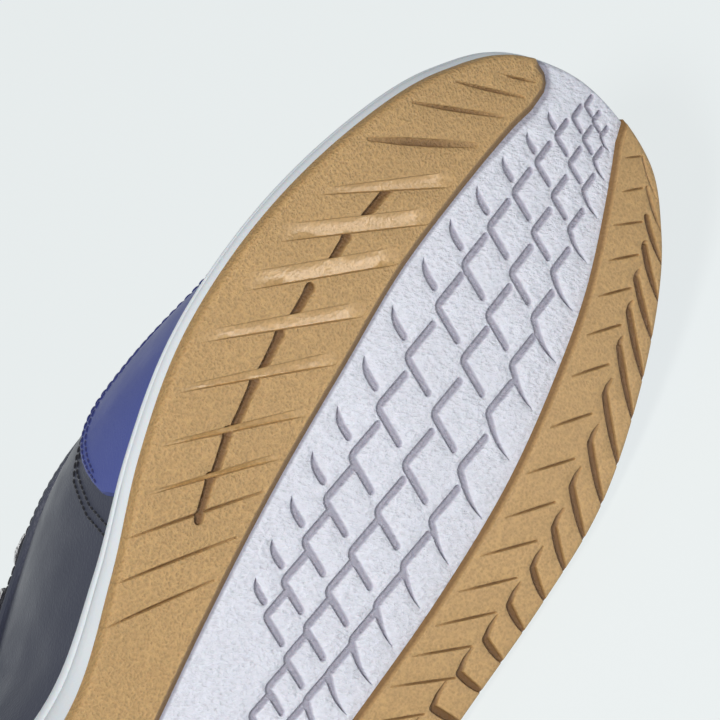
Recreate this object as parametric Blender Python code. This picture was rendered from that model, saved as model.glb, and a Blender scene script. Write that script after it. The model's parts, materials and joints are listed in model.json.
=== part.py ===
# Left indoor soccer shoe: gum outsole, foam midsole, lasted upper, tongue and laces.
# It is modelled standing, x to the medial side, y to the toe, z up, and is then
# laid on its lateral side by one empty. All sizes are in metres.

from collections import namedtuple
from math import atan2, cos, hypot, pi, sin, sqrt

import bmesh
import bpy
import numpy as np
from mathutils import Matrix, Vector

# Sole and last
SOLE_LENGTH = 0.288
BALL_WIDTH = 0.106
HEEL_WIDTH = 0.070
TOE_SPRING = 0.010
SPRING_START = 0.196
HEEL_LIFT = 0.0025
HEEL_LIFT_REACH = 0.024
ARCH_LIFT = 0.0015
ARCH_MIDDLE = 0.36
ARCH_REACH = 0.16
WIDENING_START = 0.25
WIDENING_END = 0.65
OUTSOLE_THICKNESS = 0.0036
OUTSOLE_EDGE = 0.0012
CENTRE_DROP = 0.0018
CENTRE_WALL_SLOPE = 0.0010
BAND_HEEL_END = 0.050
MIDSOLE_HEEL = 0.0160
MIDSOLE_OVERHANG = 0.0010
MIDSOLE_TUCK = 0.0006
MIDSOLE_TOP_ROUND = 0.0010
RIM_HEIGHT = 0.0050
RIM_WIDTH = 0.0030
RIM_LEAN = 0.0009
SIDE_STEP = 0.0010
SIDE_STEP_SHARE = 0.62
SIDE_STEP_RUN = 0.045

# Upper, in heights above the midsole
UPPER_WALL = 0.0020
LASTING_MARGIN = 0.013
LASTING_TURN = 0.0022
INNER_TURN = 0.0034
WALL_START = 0.025
INNER_WALL_START = 0.055
WALL_ROWS = 8
INSTEP_HEIGHT = 0.060
ANKLE_HEIGHT = 0.104
HEEL_CENTRE = 0.040
THROAT_FRONT = 0.205
SPINE_SHIFT = 0.003
OVERLAY_THICKNESS = 0.0012
OVERLAY_CLEARANCE = 0.0005
OVERLAY_START = 0.075
EDGE_MARGIN = 0.004
EYESTAY_DEPTH = 0.17
EYESTAY_TOE_DEPTH = 0.07
EYESTAY_BACK = 0.41
COLLAR_DEPTH = 0.15
COLLAR_PADDING = 0.0050

# Footbed, tongue and laces
INSOLE_THICKNESS = 0.0040
INSOLE_GAP = 0.0012
INSOLE_ROUND = 0.0010
FOOTBED_UPS = np.linspace(0, 0.4, 41)
TONGUE_THICKNESS = 0.0045
TONGUE_WIDTH = 0.052
TONGUE_LEAN = 0.012
TONGUE_FRONT = 0.222
TONGUE_TOP = 0.106
TONGUE_FRONT_SHARE = 0.82
TONGUE_STEPS = 14
COLLAR_PADDING_END = 0.088
LACE_WIDTH = 0.0070
LACE_THICKNESS = 0.0014
LACE_PIECES = 5
LACE_LIFT = 0.0014
EYELET_PAIRS = 6
EYELET_FRONT = 0.200
EYELET_BACK = 0.134
EYELET_INSET = 0.0070

# Tread
CHANNEL_DEPTH = 0.0012
CHANNEL_WIDTH = 0.0030
NARROW_CHANNEL_WIDTH = 0.0014
STEP_WIDTH = 0.0020
STEP_LENGTH = 0.0070
STEP_DEPTH = 0.00135
CHEVRON_WIDTH = 0.0018
CHEVRON_PITCH = 0.0102
CHEVRON_INSET = 0.0095
CHEVRON_TOE_INSET = 0.0071
CHEVRON_DROP = 0.003
CHEVRON_TOE_DROP = 0.012
CHEVRON_OVERRUN = 0.002
CHEVRON_START = 0.030
CHEVRON_TOE_GAP = 0.016
CUTTER_MARGIN = 0.002

CLEARANCE = 0.0003
STATIONS = 36
OUTLINE_SAMPLES = 1600
MEDIAL_GUM_END = STATIONS - 3
LATERAL_GUM_END = STATIONS - 2
MEDIAL_GUM_TIP = 0.972
FULL_PAIRING = 0.42
TREAD_SHARES = np.linspace(0, 1, 5)
MERGE_DISTANCE = 0.00001
SHARP_ANGLE = 0.6

Outline = namedtuple("Outline", "along medial lateral")
SOLE_OUTLINE = (
    Outline(0.024, 0.52, 0.61),
    Outline(0.069, 0.83, 0.92),
    Outline(0.139, 0.95, 1.04),
    Outline(0.229, 0.87, 1.06),
    Outline(0.312, 0.78, 1.12),
    Outline(0.396, 0.685, 1.12),
    Outline(0.479, 0.755, 1.055),
    Outline(0.562, 0.85, 1.01),
    Outline(0.646, 0.91, 1.02),
    Outline(0.729, 0.90, 1.04),
    Outline(0.812, 0.80, 0.97),
    Outline(0.896, 0.61, 0.84),
    Outline(0.938, 0.46, 0.73),
    Outline(0.979, 0.235, 0.545),
)
HEEL_TIP_SHARE = -0.04
TOE_TIP_SHARE = -0.14

# The white centre's edges, as shares of half the ball width from the centre line
SOLE_CENTRE = (
    Outline(0.17, 0.10, 0.30),
    Outline(0.30, 0.15, 0.38),
    Outline(0.40, 0.20, 0.48),
    Outline(0.50, 0.26, 0.54),
    Outline(0.60, 0.29, 0.60),
    Outline(0.70, 0.29, 0.62),
    Outline(0.79, 0.275, 0.585),
    Outline(0.86, 0.21, 0.535),
    Outline(0.93, 0.12, 0.44),
    Outline(0.970, 0.055, 0.375),
    Outline(0.992, 0.055, 0.335),
)

# Foam thickness and the height of the rim round it, as shares of their heel sizes
Foam = namedtuple("Foam", "along floor rim")
FOAM = (
    Foam(0.00, 1.00, 1.00),
    Foam(0.25, 0.92, 1.00),
    Foam(0.40, 0.44, 0.72),
    Foam(0.50, 0.27, 0.55),
    Foam(0.65, 0.20, 0.40),
    Foam(1.00, 0.20, 0.40),
)

# Height of the last's ridge over the spine, between the instep and ankle heights
Ridge = namedtuple("Ridge", "along rise")
RIDGE = (
    Ridge(0.14, 1.05),
    Ridge(0.35, 0.95),
    Ridge(0.42, 0.82),
    Ridge(0.48, 0.68),
    Ridge(0.55, 0.50),
    Ridge(0.62, 0.28),
    Ridge(0.71, 0.00),
)

# The wall's curve from the midsole to the ridge, and where its top edge stops
Wall = namedtuple("Wall", "along low top bulge edge")
WALLS = (
    Wall(0.00, 0.34, 0.86, 0.10, 0.49),
    Wall(0.14, 0.34, 0.72, 0.08, 0.44),
    Wall(0.25, 0.34, 0.64, 0.06, 0.395),
    Wall(0.31, 0.34, 0.62, 0.05, 0.415),
    Wall(0.36, 0.34, 0.60, 0.05, 0.49),
    Wall(0.41, 0.35, 0.60, 0.05, 0.62),
    Wall(0.46, 0.36, 0.68, 0.04, 0.71),
    Wall(0.52, 0.38, 0.78, 0.03, 0.77),
    Wall(0.58, 0.39, 0.76, 0.01, 0.79),
    Wall(0.64, 0.40, 0.68, -0.10, 0.81),
    Wall(0.72, 0.38, 0.64, -0.22, 0.83),
    Wall(0.85, 0.38, 0.64, -0.22, 0.86),
    Wall(1.00, 0.42, 0.64, -0.12, 0.88),
)

# Rubber step channels of the medial panel, from the outline in to the white centre
Channel = namedtuple("Channel", "outer_along outer inner_along inner wide")
CHANNELS = (
    Channel(0.443, 0.60, 0.518, 0.32, False),
    Channel(0.474, 0.66, 0.553, 0.32, False),
    Channel(0.506, 0.71, 0.590, 0.32, False),
    Channel(0.542, 0.74, 0.628, 0.32, False),
    Channel(0.572, 0.81, 0.667, 0.32, False),
    Channel(0.614, 0.86, 0.709, 0.33, True),
    Channel(0.652, 0.92, 0.751, 0.33, True),
    Channel(0.711, 0.87, 0.801, 0.31, True),
    Channel(0.757, 0.81, 0.840, 0.27, True),
    Channel(0.803, 0.73, 0.873, 0.25, True),
    Channel(0.852, 0.65, 0.903, 0.22, False),
    Channel(0.896, 0.55, 0.931, 0.17, False),
)
FIRST_STEPPED_CHANNEL = 3
LAST_STEPPED_CHANNEL = 9


def smooth_step(share):
    share = min(max(share, 0.0), 1.0)
    return share * share * (3 - 2 * share)


def curve_through(knots, values, at):
    """A smooth curve through a table's rows, held level beyond its ends."""
    knots = np.asarray(knots, float)
    values = np.asarray(values, float)
    at = np.clip(np.asarray(at, float), knots[0], knots[-1])
    slopes = np.gradient(values, knots, axis=0)
    index = np.clip(np.searchsorted(knots, at, side="right") - 1, 0, len(knots) - 2)
    step = knots[index + 1] - knots[index]
    share = (at - knots[index]) / step
    if values.ndim > 1:
        share = share[..., None]
        step = step[..., None]
    square = share * share
    cube = square * share
    return (
        (2 * cube - 3 * square + 1) * values[index]
        + (cube - 2 * square + share) * step * slopes[index]
        + (3 * square - 2 * cube) * values[index + 1]
        + (cube - square) * step * slopes[index + 1]
    )


def column(table, field):
    return [getattr(row, field) for row in table]


# Sole outline, the tread's rise and fall, and the white centre's edges


def half_width(along):
    blend = smooth_step((along - WIDENING_START) / (WIDENING_END - WIDENING_START))
    return 0.5 * (HEEL_WIDTH + (BALL_WIDTH - HEEL_WIDTH) * blend)


def outline_loop():
    """The sole's outline as many points: heel tip, medial side, toe tip, lateral side."""
    corners = [(HEEL_TIP_SHARE * half_width(0), 0.0)]
    for row in SOLE_OUTLINE:
        corners.append((row.medial * half_width(row.along), row.along * SOLE_LENGTH))
    corners.append((TOE_TIP_SHARE * half_width(1), SOLE_LENGTH))
    for row in reversed(SOLE_OUTLINE):
        corners.append((-row.lateral * half_width(row.along), row.along * SOLE_LENGTH))
    turns = 3
    corners = np.array(corners * turns)
    lengths = np.hypot(*np.diff(corners, axis=0).T)
    knots = np.concatenate([[0], np.cumsum(np.sqrt(lengths))])
    count = len(corners) // turns
    at = np.linspace(knots[count], knots[2 * count], OUTLINE_SAMPLES, endpoint=False)
    return curve_through(knots, corners, at)


LOOP = outline_loop()
LOOP_TOE = int(np.argmax(LOOP[:, 1]))
LOOP_HEEL = int(np.argmin(LOOP[:, 1]))


def side_points(side):
    """The outline's points on one side, from the heel tip to the toe tip."""
    points = np.roll(LOOP, -LOOP_HEEL, axis=0)
    toe = (LOOP_TOE - LOOP_HEEL) % len(LOOP)
    if side > 0:
        return points[: toe + 1]
    return np.vstack([points[:1], points[toe:][::-1]])


def outline_x(y, side):
    points = side_points(side)
    return float(np.interp(y, points[:, 1], points[:, 0]))


def tread_height(y):
    """Height of the flat tread under any point: toe spring, heel lift and arch."""
    toe = max(0.0, (y - SPRING_START) / (SOLE_LENGTH - SPRING_START))
    heel = max(0.0, 1 - y / HEEL_LIFT_REACH)
    arch = max(0.0, 1 - ((y / SOLE_LENGTH - ARCH_MIDDLE) / ARCH_REACH) ** 2)
    return TOE_SPRING * toe**2 + HEEL_LIFT * heel**2 + ARCH_LIFT * arch**2


def foam_share(field, y):
    return float(curve_through(column(FOAM, "along"), column(FOAM, field), y / SOLE_LENGTH))


def midsole_thickness(y):
    return MIDSOLE_HEEL * foam_share("floor", y)


def midsole_top(y):
    return tread_height(y) + OUTSOLE_THICKNESS + CLEARANCE + midsole_thickness(y)


def centre_edges(y):
    """The white centre's lateral and medial edge, rounded off towards the heel."""
    along = y / SOLE_LENGTH
    half = 0.5 * BALL_WIDTH
    medial = float(curve_through(column(SOLE_CENTRE, "along"), column(SOLE_CENTRE, "medial"), along))
    lateral = float(curve_through(column(SOLE_CENTRE, "along"), column(SOLE_CENTRE, "lateral"), along))
    middle = 0.5 * (medial - lateral) * half
    width = 0.5 * (medial + lateral) * half
    behind = 1 - (y - BAND_HEEL_END) / (0.5 * HEEL_WIDTH)
    if behind > 0:
        width *= sqrt(max(0.0, 1 - behind**2))
    return middle - width, middle + width


def station_heights():
    """Places along the sole, close together at the round heel and toe."""
    return [0.5 * SOLE_LENGTH * (1 - cos(pi * k / STATIONS)) for k in range(STATIONS + 1)]


def outline_columns():
    """Outline points and outward directions, medial and lateral ones level in pairs."""
    heights = station_heights()
    points = [(side_points(1)[0][0], 0.0)]
    points += [(outline_x(y, 1), y) for y in heights[1:-1]]
    points += [(side_points(1)[-1][0], SOLE_LENGTH)]
    points += [(outline_x(y, -1), y) for y in reversed(heights[1:-1])]
    points = np.array(points)
    along = np.roll(points, -1, axis=0) - np.roll(points, 1, axis=0)
    along /= np.linalg.norm(along, axis=1)[:, None]
    outward = np.stack([along[:, 1], -along[:, 0]], axis=1)
    return points, outward


COLUMN_POINTS, COLUMN_OUTWARD = outline_columns()
COLUMN_COUNT = len(COLUMN_POINTS)


def loop_at(out, height):
    """The outline moved outwards, each point at its own height."""
    points = COLUMN_POINTS + COLUMN_OUTWARD * out
    return np.array([(x, y, height(y)) for x, y in points])


# The last: one function gives every point of the upper and of what lies on it

FEATHER_INSET = RIM_WIDTH + CLEARANCE - MIDSOLE_OVERHANG
FEATHER_POINTS = COLUMN_POINTS - COLUMN_OUTWARD * FEATHER_INSET


def spine_point(y):
    """The centre line of the last, nearest to a point of the feather edge."""
    y = min(max(y, HEEL_CENTRE), THROAT_FRONT)
    middle = 0.5 * (outline_x(y, 1) + outline_x(y, -1))
    lean = smooth_step((y - HEEL_CENTRE) / (THROAT_FRONT - HEEL_CENTRE))
    return middle + SPINE_SHIFT * lean, y


def ridge_height(y):
    rise = float(curve_through(column(RIDGE, "along"), column(RIDGE, "rise"), y / SOLE_LENGTH))
    return INSTEP_HEIGHT + (ANKLE_HEIGHT - INSTEP_HEIGHT) * rise


def wall_value(field, y):
    return float(curve_through(column(WALLS, "along"), column(WALLS, field), y / SOLE_LENGTH))


def wall_profile(reach, ridge, y, up):
    """Distance from the spine and height, along the wall's curve."""
    low = wall_value("low", y)
    top = wall_value("top", y)
    bulge = wall_value("bulge", y)
    down = 1 - up
    distance = reach * (down**3 + 3 * down**2 * up * (1 + bulge) + 3 * down * up**2 * top)
    height = ridge * (3 * down**2 * up * low + 3 * down * up**2 + up**3)
    return distance, height


def upper_point(index, up, out):
    """A point of the last: round the feather edge by column, up the wall, and out."""
    foot = FEATHER_POINTS[index % COLUMN_COUNT]
    centre = spine_point(foot[1])
    reach = hypot(foot[0] - centre[0], foot[1] - centre[1])
    ridge = ridge_height(centre[1])
    distance, height = wall_profile(reach + out, ridge + out, foot[1], up)
    x = centre[0] + (foot[0] - centre[0]) / reach * distance
    y = centre[1] + (foot[1] - centre[1]) / reach * distance
    return x, y, midsole_top(y) + CLEARANCE + height


def top_edge(index):
    return wall_value("edge", FEATHER_POINTS[index % COLUMN_COUNT][1])


def fan_reach(x, y):
    """Feather distance and place in the direction of a point seen from the spine."""
    centre = spine_point(y)
    if y <= THROAT_FRONT:
        side = 1 if x >= centre[0] else -1
        half = slice(0, STATIONS + 1) if side > 0 else slice(STATIONS, COLUMN_COUNT)
        feet = FEATHER_POINTS[half]
        order = np.argsort(feet[:, 1])
        foot_x = float(np.interp(y, feet[order, 1], feet[order, 0]))
        return abs(foot_x - centre[0]), y
    feet = [foot for foot in FEATHER_POINTS if foot[1] > THROAT_FRONT]
    angles = np.array([atan2(foot[1] - centre[1], foot[0] - centre[0]) for foot in feet])
    order = np.argsort(angles)
    reaches = np.array([hypot(foot[0] - centre[0], foot[1] - centre[1]) for foot in feet])
    places = np.array([foot[1] for foot in feet])
    angle = atan2(y - centre[1], x - centre[0])
    reach = float(np.interp(angle, angles[order], reaches[order]))
    return reach, float(np.interp(angle, angles[order], places[order]))


def over_last(x, y, out):
    """The point of the last straight above a place in plan, near its ridge."""
    centre = spine_point(y)
    distance = hypot(x - centre[0], y - centre[1])
    reach, place = fan_reach(x, y)
    ridge = ridge_height(centre[1])
    below, above = 0.3, 1.0
    for _ in range(30):
        middle = 0.5 * (below + above)
        if wall_profile(reach + out, ridge + out, place, middle)[0] > distance:
            below = middle
        else:
            above = middle
    height = wall_profile(reach + out, ridge + out, place, below)[1]
    return x, y, midsole_top(y) + CLEARANCE + height


# Turning rows of points into closed solids


def new_collection(name):
    collection = bpy.data.collections.new(name)
    bpy.context.scene.collection.children.link(collection)
    return collection


def finish_object(name, mesh_builder, collection):
    bmesh.ops.remove_doubles(mesh_builder, verts=mesh_builder.verts, dist=MERGE_DISTANCE)
    bmesh.ops.recalc_face_normals(mesh_builder, faces=mesh_builder.faces)
    mesh = bpy.data.meshes.new(name)
    mesh_builder.to_mesh(mesh)
    mesh_builder.free()
    mesh.shade_smooth()
    mesh.set_sharp_from_angle(angle=SHARP_ANGLE)
    part = bpy.data.objects.new(name, mesh)
    collection.objects.link(part)
    return part


def add_face(mesh_builder, corners):
    unique = list(dict.fromkeys(corners))
    if len(unique) > 2:
        mesh_builder.faces.new(unique)


def swept_solid(name, sections, collection, closed=False):
    """Joins closed sections in order, and closes the ends or joins them up."""
    mesh_builder = bmesh.new()
    add_sections(mesh_builder, sections, closed)
    return finish_object(name, mesh_builder, collection)


def add_sections(mesh_builder, sections, closed=False):
    rings = [[mesh_builder.verts.new(point) for point in ring] for ring in sections]
    size = len(rings[0])
    pairs = list(zip(rings, rings[1:]))
    if closed:
        pairs.append((rings[-1], rings[0]))
    for ring, other in pairs:
        for k in range(size):
            after = (k + 1) % size
            add_face(mesh_builder, (ring[k], ring[after], other[after], other[k]))
    if not closed:
        add_face(mesh_builder, rings[0])
        add_face(mesh_builder, rings[-1])


def slab_solid(name, loops, collection):
    """A slab: outline loops from the bottom to the top, closed across from side to side."""
    mesh_builder = bmesh.new()
    rings = [[mesh_builder.verts.new(point) for point in loop] for loop in loops]
    for ring, other in zip(rings, rings[1:]):
        for k in range(COLUMN_COUNT):
            after = (k + 1) % COLUMN_COUNT
            add_face(mesh_builder, (ring[k], ring[after], other[after], other[k]))
    for ring in (rings[0], rings[-1]):
        for k in range(STATIONS):
            across = (COLUMN_COUNT - k) % COLUMN_COUNT
            add_face(mesh_builder, (ring[k], ring[k + 1], ring[across - 1], ring[across]))
    return finish_object(name, mesh_builder, collection)


def sheet_sections(columns, low, high, rows, inner, outer):
    """Sections of a sheet on the last, one at each column, between two edges."""
    sections = []
    for index in columns:
        ups = np.linspace(low(index), high(index), rows)
        outside = [upper_point(index, up, outer) for up in ups]
        inside = [upper_point(index, up, inner) for up in reversed(ups)]
        sections.append(outside + inside)
    return sections


# The pieces


def centre_boundary(side, inset):
    """The gum's inner edge on one side, level with each outline column, heel to toe."""
    points = []
    last = MEDIAL_GUM_END if side > 0 else LATERAL_GUM_END
    full = FULL_PAIRING * SOLE_LENGTH
    for k in range(last + 1):
        y = COLUMN_POINTS[k][1]
        if y < full:
            y = BAND_HEEL_END + (full - BAND_HEEL_END) * y / full
        if side > 0:
            y = min(y, MEDIAL_GUM_TIP * SOLE_LENGTH)
        lateral, medial = centre_edges(y)
        points.append((medial if side > 0 else lateral, y))
    points = np.array(points)
    ahead = np.gradient(points, axis=0)
    ahead[0] = (side, 0.0)
    ahead[-1] = ahead[-3]
    ahead /= np.linalg.norm(ahead, axis=1)[:, None]
    return points + np.stack([-ahead[:, 1], ahead[:, 0]], axis=1) * side * inset


def outsole_sections():
    """Gum rubber: a band round the sole that leaves the white centre open."""
    medial = centre_boundary(1, 0.0)
    lateral = centre_boundary(-1, 0.0)
    sections = []
    medial_side = list(range(MEDIAL_GUM_END, -1, -1))
    lateral_side = [COLUMN_COUNT - k for k in range(1, LATERAL_GUM_END + 1)]
    for index in medial_side + lateral_side:
        outer = COLUMN_POINTS[index]
        inner = medial[index] if index <= MEDIAL_GUM_END else lateral[COLUMN_COUNT - index]
        across = (outer - inner) / np.linalg.norm(outer - inner)
        bevel = outer - COLUMN_OUTWARD[index] * OUTSOLE_EDGE
        lip = inner + across * CENTRE_WALL_SLOPE
        bottom = [(lip + (bevel - lip) * share, 0.0) for share in TREAD_SHARES]
        top = [(outer + (inner - outer) * share, OUTSOLE_THICKNESS) for share in TREAD_SHARES]
        flat = bottom + [(outer, OUTSOLE_EDGE)] + top + [(inner, CENTRE_DROP)]
        sections.append([(p[0], p[1], tread_height(p[1]) + rise) for p, rise in flat])
    return sections


def groove_sections(path, width, depth):
    """A bar along a path in plan, from below the tread up to a groove's floor."""
    path = np.array(path)
    below = CUTTER_MARGIN
    sections = []
    for k, point in enumerate(path):
        ahead = path[min(k + 1, len(path) - 1)] - path[max(k - 1, 0)]
        ahead /= np.linalg.norm(ahead)
        aside = np.array([-ahead[1], ahead[0]]) * 0.5 * width
        left = point + aside
        right = point - aside
        sections.append([
            (left[0], left[1], tread_height(left[1]) - below),
            (right[0], right[1], tread_height(right[1]) - below),
            (right[0], right[1], tread_height(right[1]) + depth),
            (left[0], left[1], tread_height(left[1]) + depth),
        ])
    return sections


def split_path(start, end, pieces):
    start = np.array(start)
    return [start + (np.array(end) - start) * k / pieces for k in range(pieces + 1)]


def channel_ends(row):
    half = 0.5 * BALL_WIDTH
    outer = (row.outer * half, row.outer_along * SOLE_LENGTH)
    inner = (row.inner * half, row.inner_along * SOLE_LENGTH)
    return outer, inner


def add_grooves(collection):
    """Cutters: channels and chevrons in one, the short steps between channels in another."""
    grooves = bmesh.new()
    for row in CHANNELS:
        outer, inner = channel_ends(row)
        width = CHANNEL_WIDTH if row.wide else NARROW_CHANNEL_WIDTH
        add_sections(grooves, groove_sections(split_path(outer, inner, 3), width, CHANNEL_DEPTH))
    y = CHEVRON_START
    while y < SOLE_LENGTH - CHEVRON_TOE_GAP:
        forward = smooth_step((y / SOLE_LENGTH - 0.5) / 0.35)
        drop = CHEVRON_DROP + (CHEVRON_TOE_DROP - CHEVRON_DROP) * forward
        inset = CHEVRON_INSET + (CHEVRON_TOE_INSET - CHEVRON_INSET) * forward
        vertex = (outline_x(y, -1) + inset, y)
        end = (outline_x(y - drop, -1) - CHEVRON_OVERRUN, y - drop)
        add_sections(grooves, groove_sections(split_path(vertex, end, 1), CHEVRON_WIDTH, CHANNEL_DEPTH))
        y += CHEVRON_PITCH
    steps = bmesh.new()
    for row in CHANNELS[FIRST_STEPPED_CHANNEL : LAST_STEPPED_CHANNEL + 1]:
        outer, inner = channel_ends(row)
        middle = 0.5 * (np.array(outer) + np.array(inner))
        foot = middle - np.array([0.0, STEP_LENGTH])
        add_sections(steps, groove_sections(split_path(middle, foot, 1), STEP_WIDTH, STEP_DEPTH))
    cutters = []
    for name, builder in (("tread_grooves", grooves), ("tread_steps", steps)):
        cutter = finish_object(name, builder, collection)
        cutter.hide_render = True
        cutter.display_type = "WIRE"
        cutters.append(cutter)
    return cutters


def make_outsole(shoe, cutters):
    outsole = swept_solid("outsole", outsole_sections(), shoe)
    for cutter in add_grooves(cutters):
        cut = outsole.modifiers.new("Cut " + cutter.name, "BOOLEAN")
        cut.operation = "DIFFERENCE"
        cut.solver = "EXACT"
        cut.object = cutter
    return outsole


def make_outsole_centre(shoe):
    """The white insert, set lower than the gum and running out at the toe tip."""
    medial = list(centre_boundary(1, CLEARANCE))
    lateral = list(centre_boundary(-1, CLEARANCE))
    ends = COLUMN_POINTS - COLUMN_OUTWARD * 2 * CLEARANCE
    medial.append(ends[MEDIAL_GUM_END] + np.array([0.0, 3 * CLEARANCE]))
    lateral.insert(MEDIAL_GUM_END, lateral[MEDIAL_GUM_END])
    medial += [ends[k] for k in range(MEDIAL_GUM_END + 1, STATIONS)]
    lateral += [ends[COLUMN_COUNT - k] for k in range(LATERAL_GUM_END + 1, STATIONS)]
    sections = []
    for right, left in zip(medial, lateral):
        low = [(x, y, tread_height(y) + CENTRE_DROP) for x, y in (right, left)]
        high = [(x, y, tread_height(y) + OUTSOLE_THICKNESS) for x, y in (left, right)]
        sections.append(low + high)
    return swept_solid("outsole_centre", sections, shoe)


def rim_rise(y):
    return RIM_HEIGHT * foam_share("rim", y)


def make_midsole(shoe):
    def at_bottom(y):
        return tread_height(y) + OUTSOLE_THICKNESS + CLEARANCE

    def at_rim(y):
        return midsole_top(y) + rim_rise(y)

    def at_share(share):
        return lambda y: at_bottom(y) + (at_rim(y) - at_bottom(y)) * share

    floor = MIDSOLE_OVERHANG - RIM_WIDTH
    loops = [
        loop_at(-MIDSOLE_TUCK, at_bottom),
        loop_at(MIDSOLE_OVERHANG, at_share(SIDE_STEP_SHARE - SIDE_STEP_RUN)),
        loop_at(MIDSOLE_OVERHANG - SIDE_STEP * 0.5, at_share(SIDE_STEP_SHARE)),
        loop_at(MIDSOLE_OVERHANG, at_share(SIDE_STEP_SHARE + SIDE_STEP_RUN)),
        loop_at(MIDSOLE_OVERHANG, at_share(0.93)),
        loop_at(MIDSOLE_OVERHANG - MIDSOLE_TOP_ROUND, at_rim),
        loop_at(floor + RIM_LEAN, at_rim),
        loop_at(floor, midsole_top),
    ]
    return slab_solid("midsole", loops, shoe)


def footbed_loop(inset, rise):
    """The insole's outline, kept inside both the feather edge and the wall above it."""
    base = 2 * CLEARANCE + UPPER_WALL
    points = []
    for foot in FEATHER_POINTS:
        centre = np.array(spine_point(foot[1]))
        reach = np.linalg.norm(foot - centre)
        inner_reach = reach - UPPER_WALL
        inner_ridge = ridge_height(centre[1]) - UPPER_WALL
        curve = [wall_profile(inner_reach, inner_ridge, foot[1], up) for up in FOOTBED_UPS]
        wall = min(distance for distance, height in curve if height < base + INSOLE_THICKNESS + INSOLE_GAP)
        x, y = centre + (foot - centre) / reach * (min(wall, inner_reach) - INSOLE_GAP - inset)
        points.append((x, y, midsole_top(y) + base + rise))
    return np.array(points)


def make_insole(shoe):
    loops = [
        footbed_loop(INSOLE_ROUND, 0.0),
        footbed_loop(0.0, INSOLE_ROUND),
        footbed_loop(0.0, INSOLE_THICKNESS - INSOLE_ROUND),
        footbed_loop(INSOLE_ROUND, INSOLE_THICKNESS),
    ]
    return slab_solid("insole", loops, shoe)


def make_upper(shoe):
    """One hollow wall, turned in under the foot and open along throat and collar."""
    sections = []
    for index in range(COLUMN_COUNT):
        foot = FEATHER_POINTS[index]
        inward = -COLUMN_OUTWARD[index]
        edge = top_edge(index)
        margin = foot + inward * LASTING_MARGIN
        turn = foot + inward * LASTING_TURN
        floor = midsole_top(margin[1]) + CLEARANCE
        turn_floor = midsole_top(turn[1]) + CLEARANCE
        outer_ups = np.linspace(WALL_START, edge, WALL_ROWS)
        inner_ups = np.linspace(edge, INNER_WALL_START, WALL_ROWS)
        outside = [upper_point(index, up, 0.0) for up in outer_ups]
        inside = [upper_point(index, up, -UPPER_WALL) for up in inner_ups]
        inner_turn = foot + inward * INNER_TURN
        inner_floor = midsole_top(inner_turn[1]) + CLEARANCE + UPPER_WALL
        sections.append(
            [(margin[0], margin[1], floor), (turn[0], turn[1], turn_floor)]
            + outside
            + inside
            + [(inner_turn[0], inner_turn[1], inner_floor), (margin[0], margin[1], floor + UPPER_WALL)]
        )
    return swept_solid("upper", sections, shoe, closed=True)


def columns_between(first_y, last_y, through_toe):
    """Columns from one place on the medial side round to the same on the lateral side."""
    if through_toe:
        order = list(range(0, COLUMN_COUNT))
    else:
        order = list(range(-STATIONS, STATIONS + 1))
    return [k for k in order if first_y < FEATHER_POINTS[k % COLUMN_COUNT][1] < last_y]


def place_along(index):
    return FEATHER_POINTS[index % COLUMN_COUNT][1] / SOLE_LENGTH


# Height of the toe overlay up the wall, rising from its slanted back edge
Edge = namedtuple("Edge", "along up")
TOE_OVERLAY_EDGE = (
    Edge(0.53, 0.14),
    Edge(0.56, 0.26),
    Edge(0.60, 0.37),
    Edge(0.66, 0.40),
    Edge(0.90, 0.42),
    Edge(1.00, 0.42),
)
HEEL_COUNTER_EDGE = (
    Edge(0.00, 0.36),
    Edge(0.15, 0.33),
    Edge(0.25, 0.20),
    Edge(0.31, 0.08),
)


def edge_value(table, index):
    return float(curve_through(column(table, "along"), column(table, "up"), place_along(index)))


def make_overlays(shoe):
    inner = OVERLAY_CLEARANCE
    outer = OVERLAY_CLEARANCE + OVERLAY_THICKNESS

    def overlay_start(index):
        return OVERLAY_START

    def toe_edge(index):
        return edge_value(TOE_OVERLAY_EDGE, index)

    def heel_edge(index):
        return edge_value(HEEL_COUNTER_EDGE, index)

    def stay_low(index):
        towards_toe = smooth_step((place_along(index) - 0.70) / 0.2)
        return top_edge(index) - EYESTAY_DEPTH + (EYESTAY_DEPTH - EYESTAY_TOE_DEPTH) * towards_toe

    def below_edge(index):
        return top_edge(index) - EDGE_MARGIN

    def collar_low(index):
        return top_edge(index) - COLLAR_DEPTH

    toe_columns = columns_between(TOE_OVERLAY_EDGE[0].along * SOLE_LENGTH, SOLE_LENGTH, True)
    toe = sheet_sections(toe_columns, overlay_start, toe_edge, 6, inner, outer)
    swept_solid("toe_overlay", toe, shoe)

    heel_columns = columns_between(-SOLE_LENGTH, HEEL_COUNTER_EDGE[-1].along * SOLE_LENGTH, False)
    heel = sheet_sections(heel_columns, overlay_start, heel_edge, 5, inner, outer)
    swept_solid("heel_counter", heel, shoe)

    stay_columns = columns_between(EYESTAY_BACK * SOLE_LENGTH, SOLE_LENGTH, True)
    stay = sheet_sections(stay_columns, stay_low, below_edge, 4, inner, outer)
    swept_solid("eyestay", stay, shoe)

    outer = -UPPER_WALL - OVERLAY_CLEARANCE
    collar_columns = columns_between(-SOLE_LENGTH, COLLAR_PADDING_END, False)
    collar = sheet_sections(collar_columns, collar_low, below_edge, 4, outer - COLLAR_PADDING, outer)
    swept_solid("collar_padding", collar, shoe)


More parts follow.
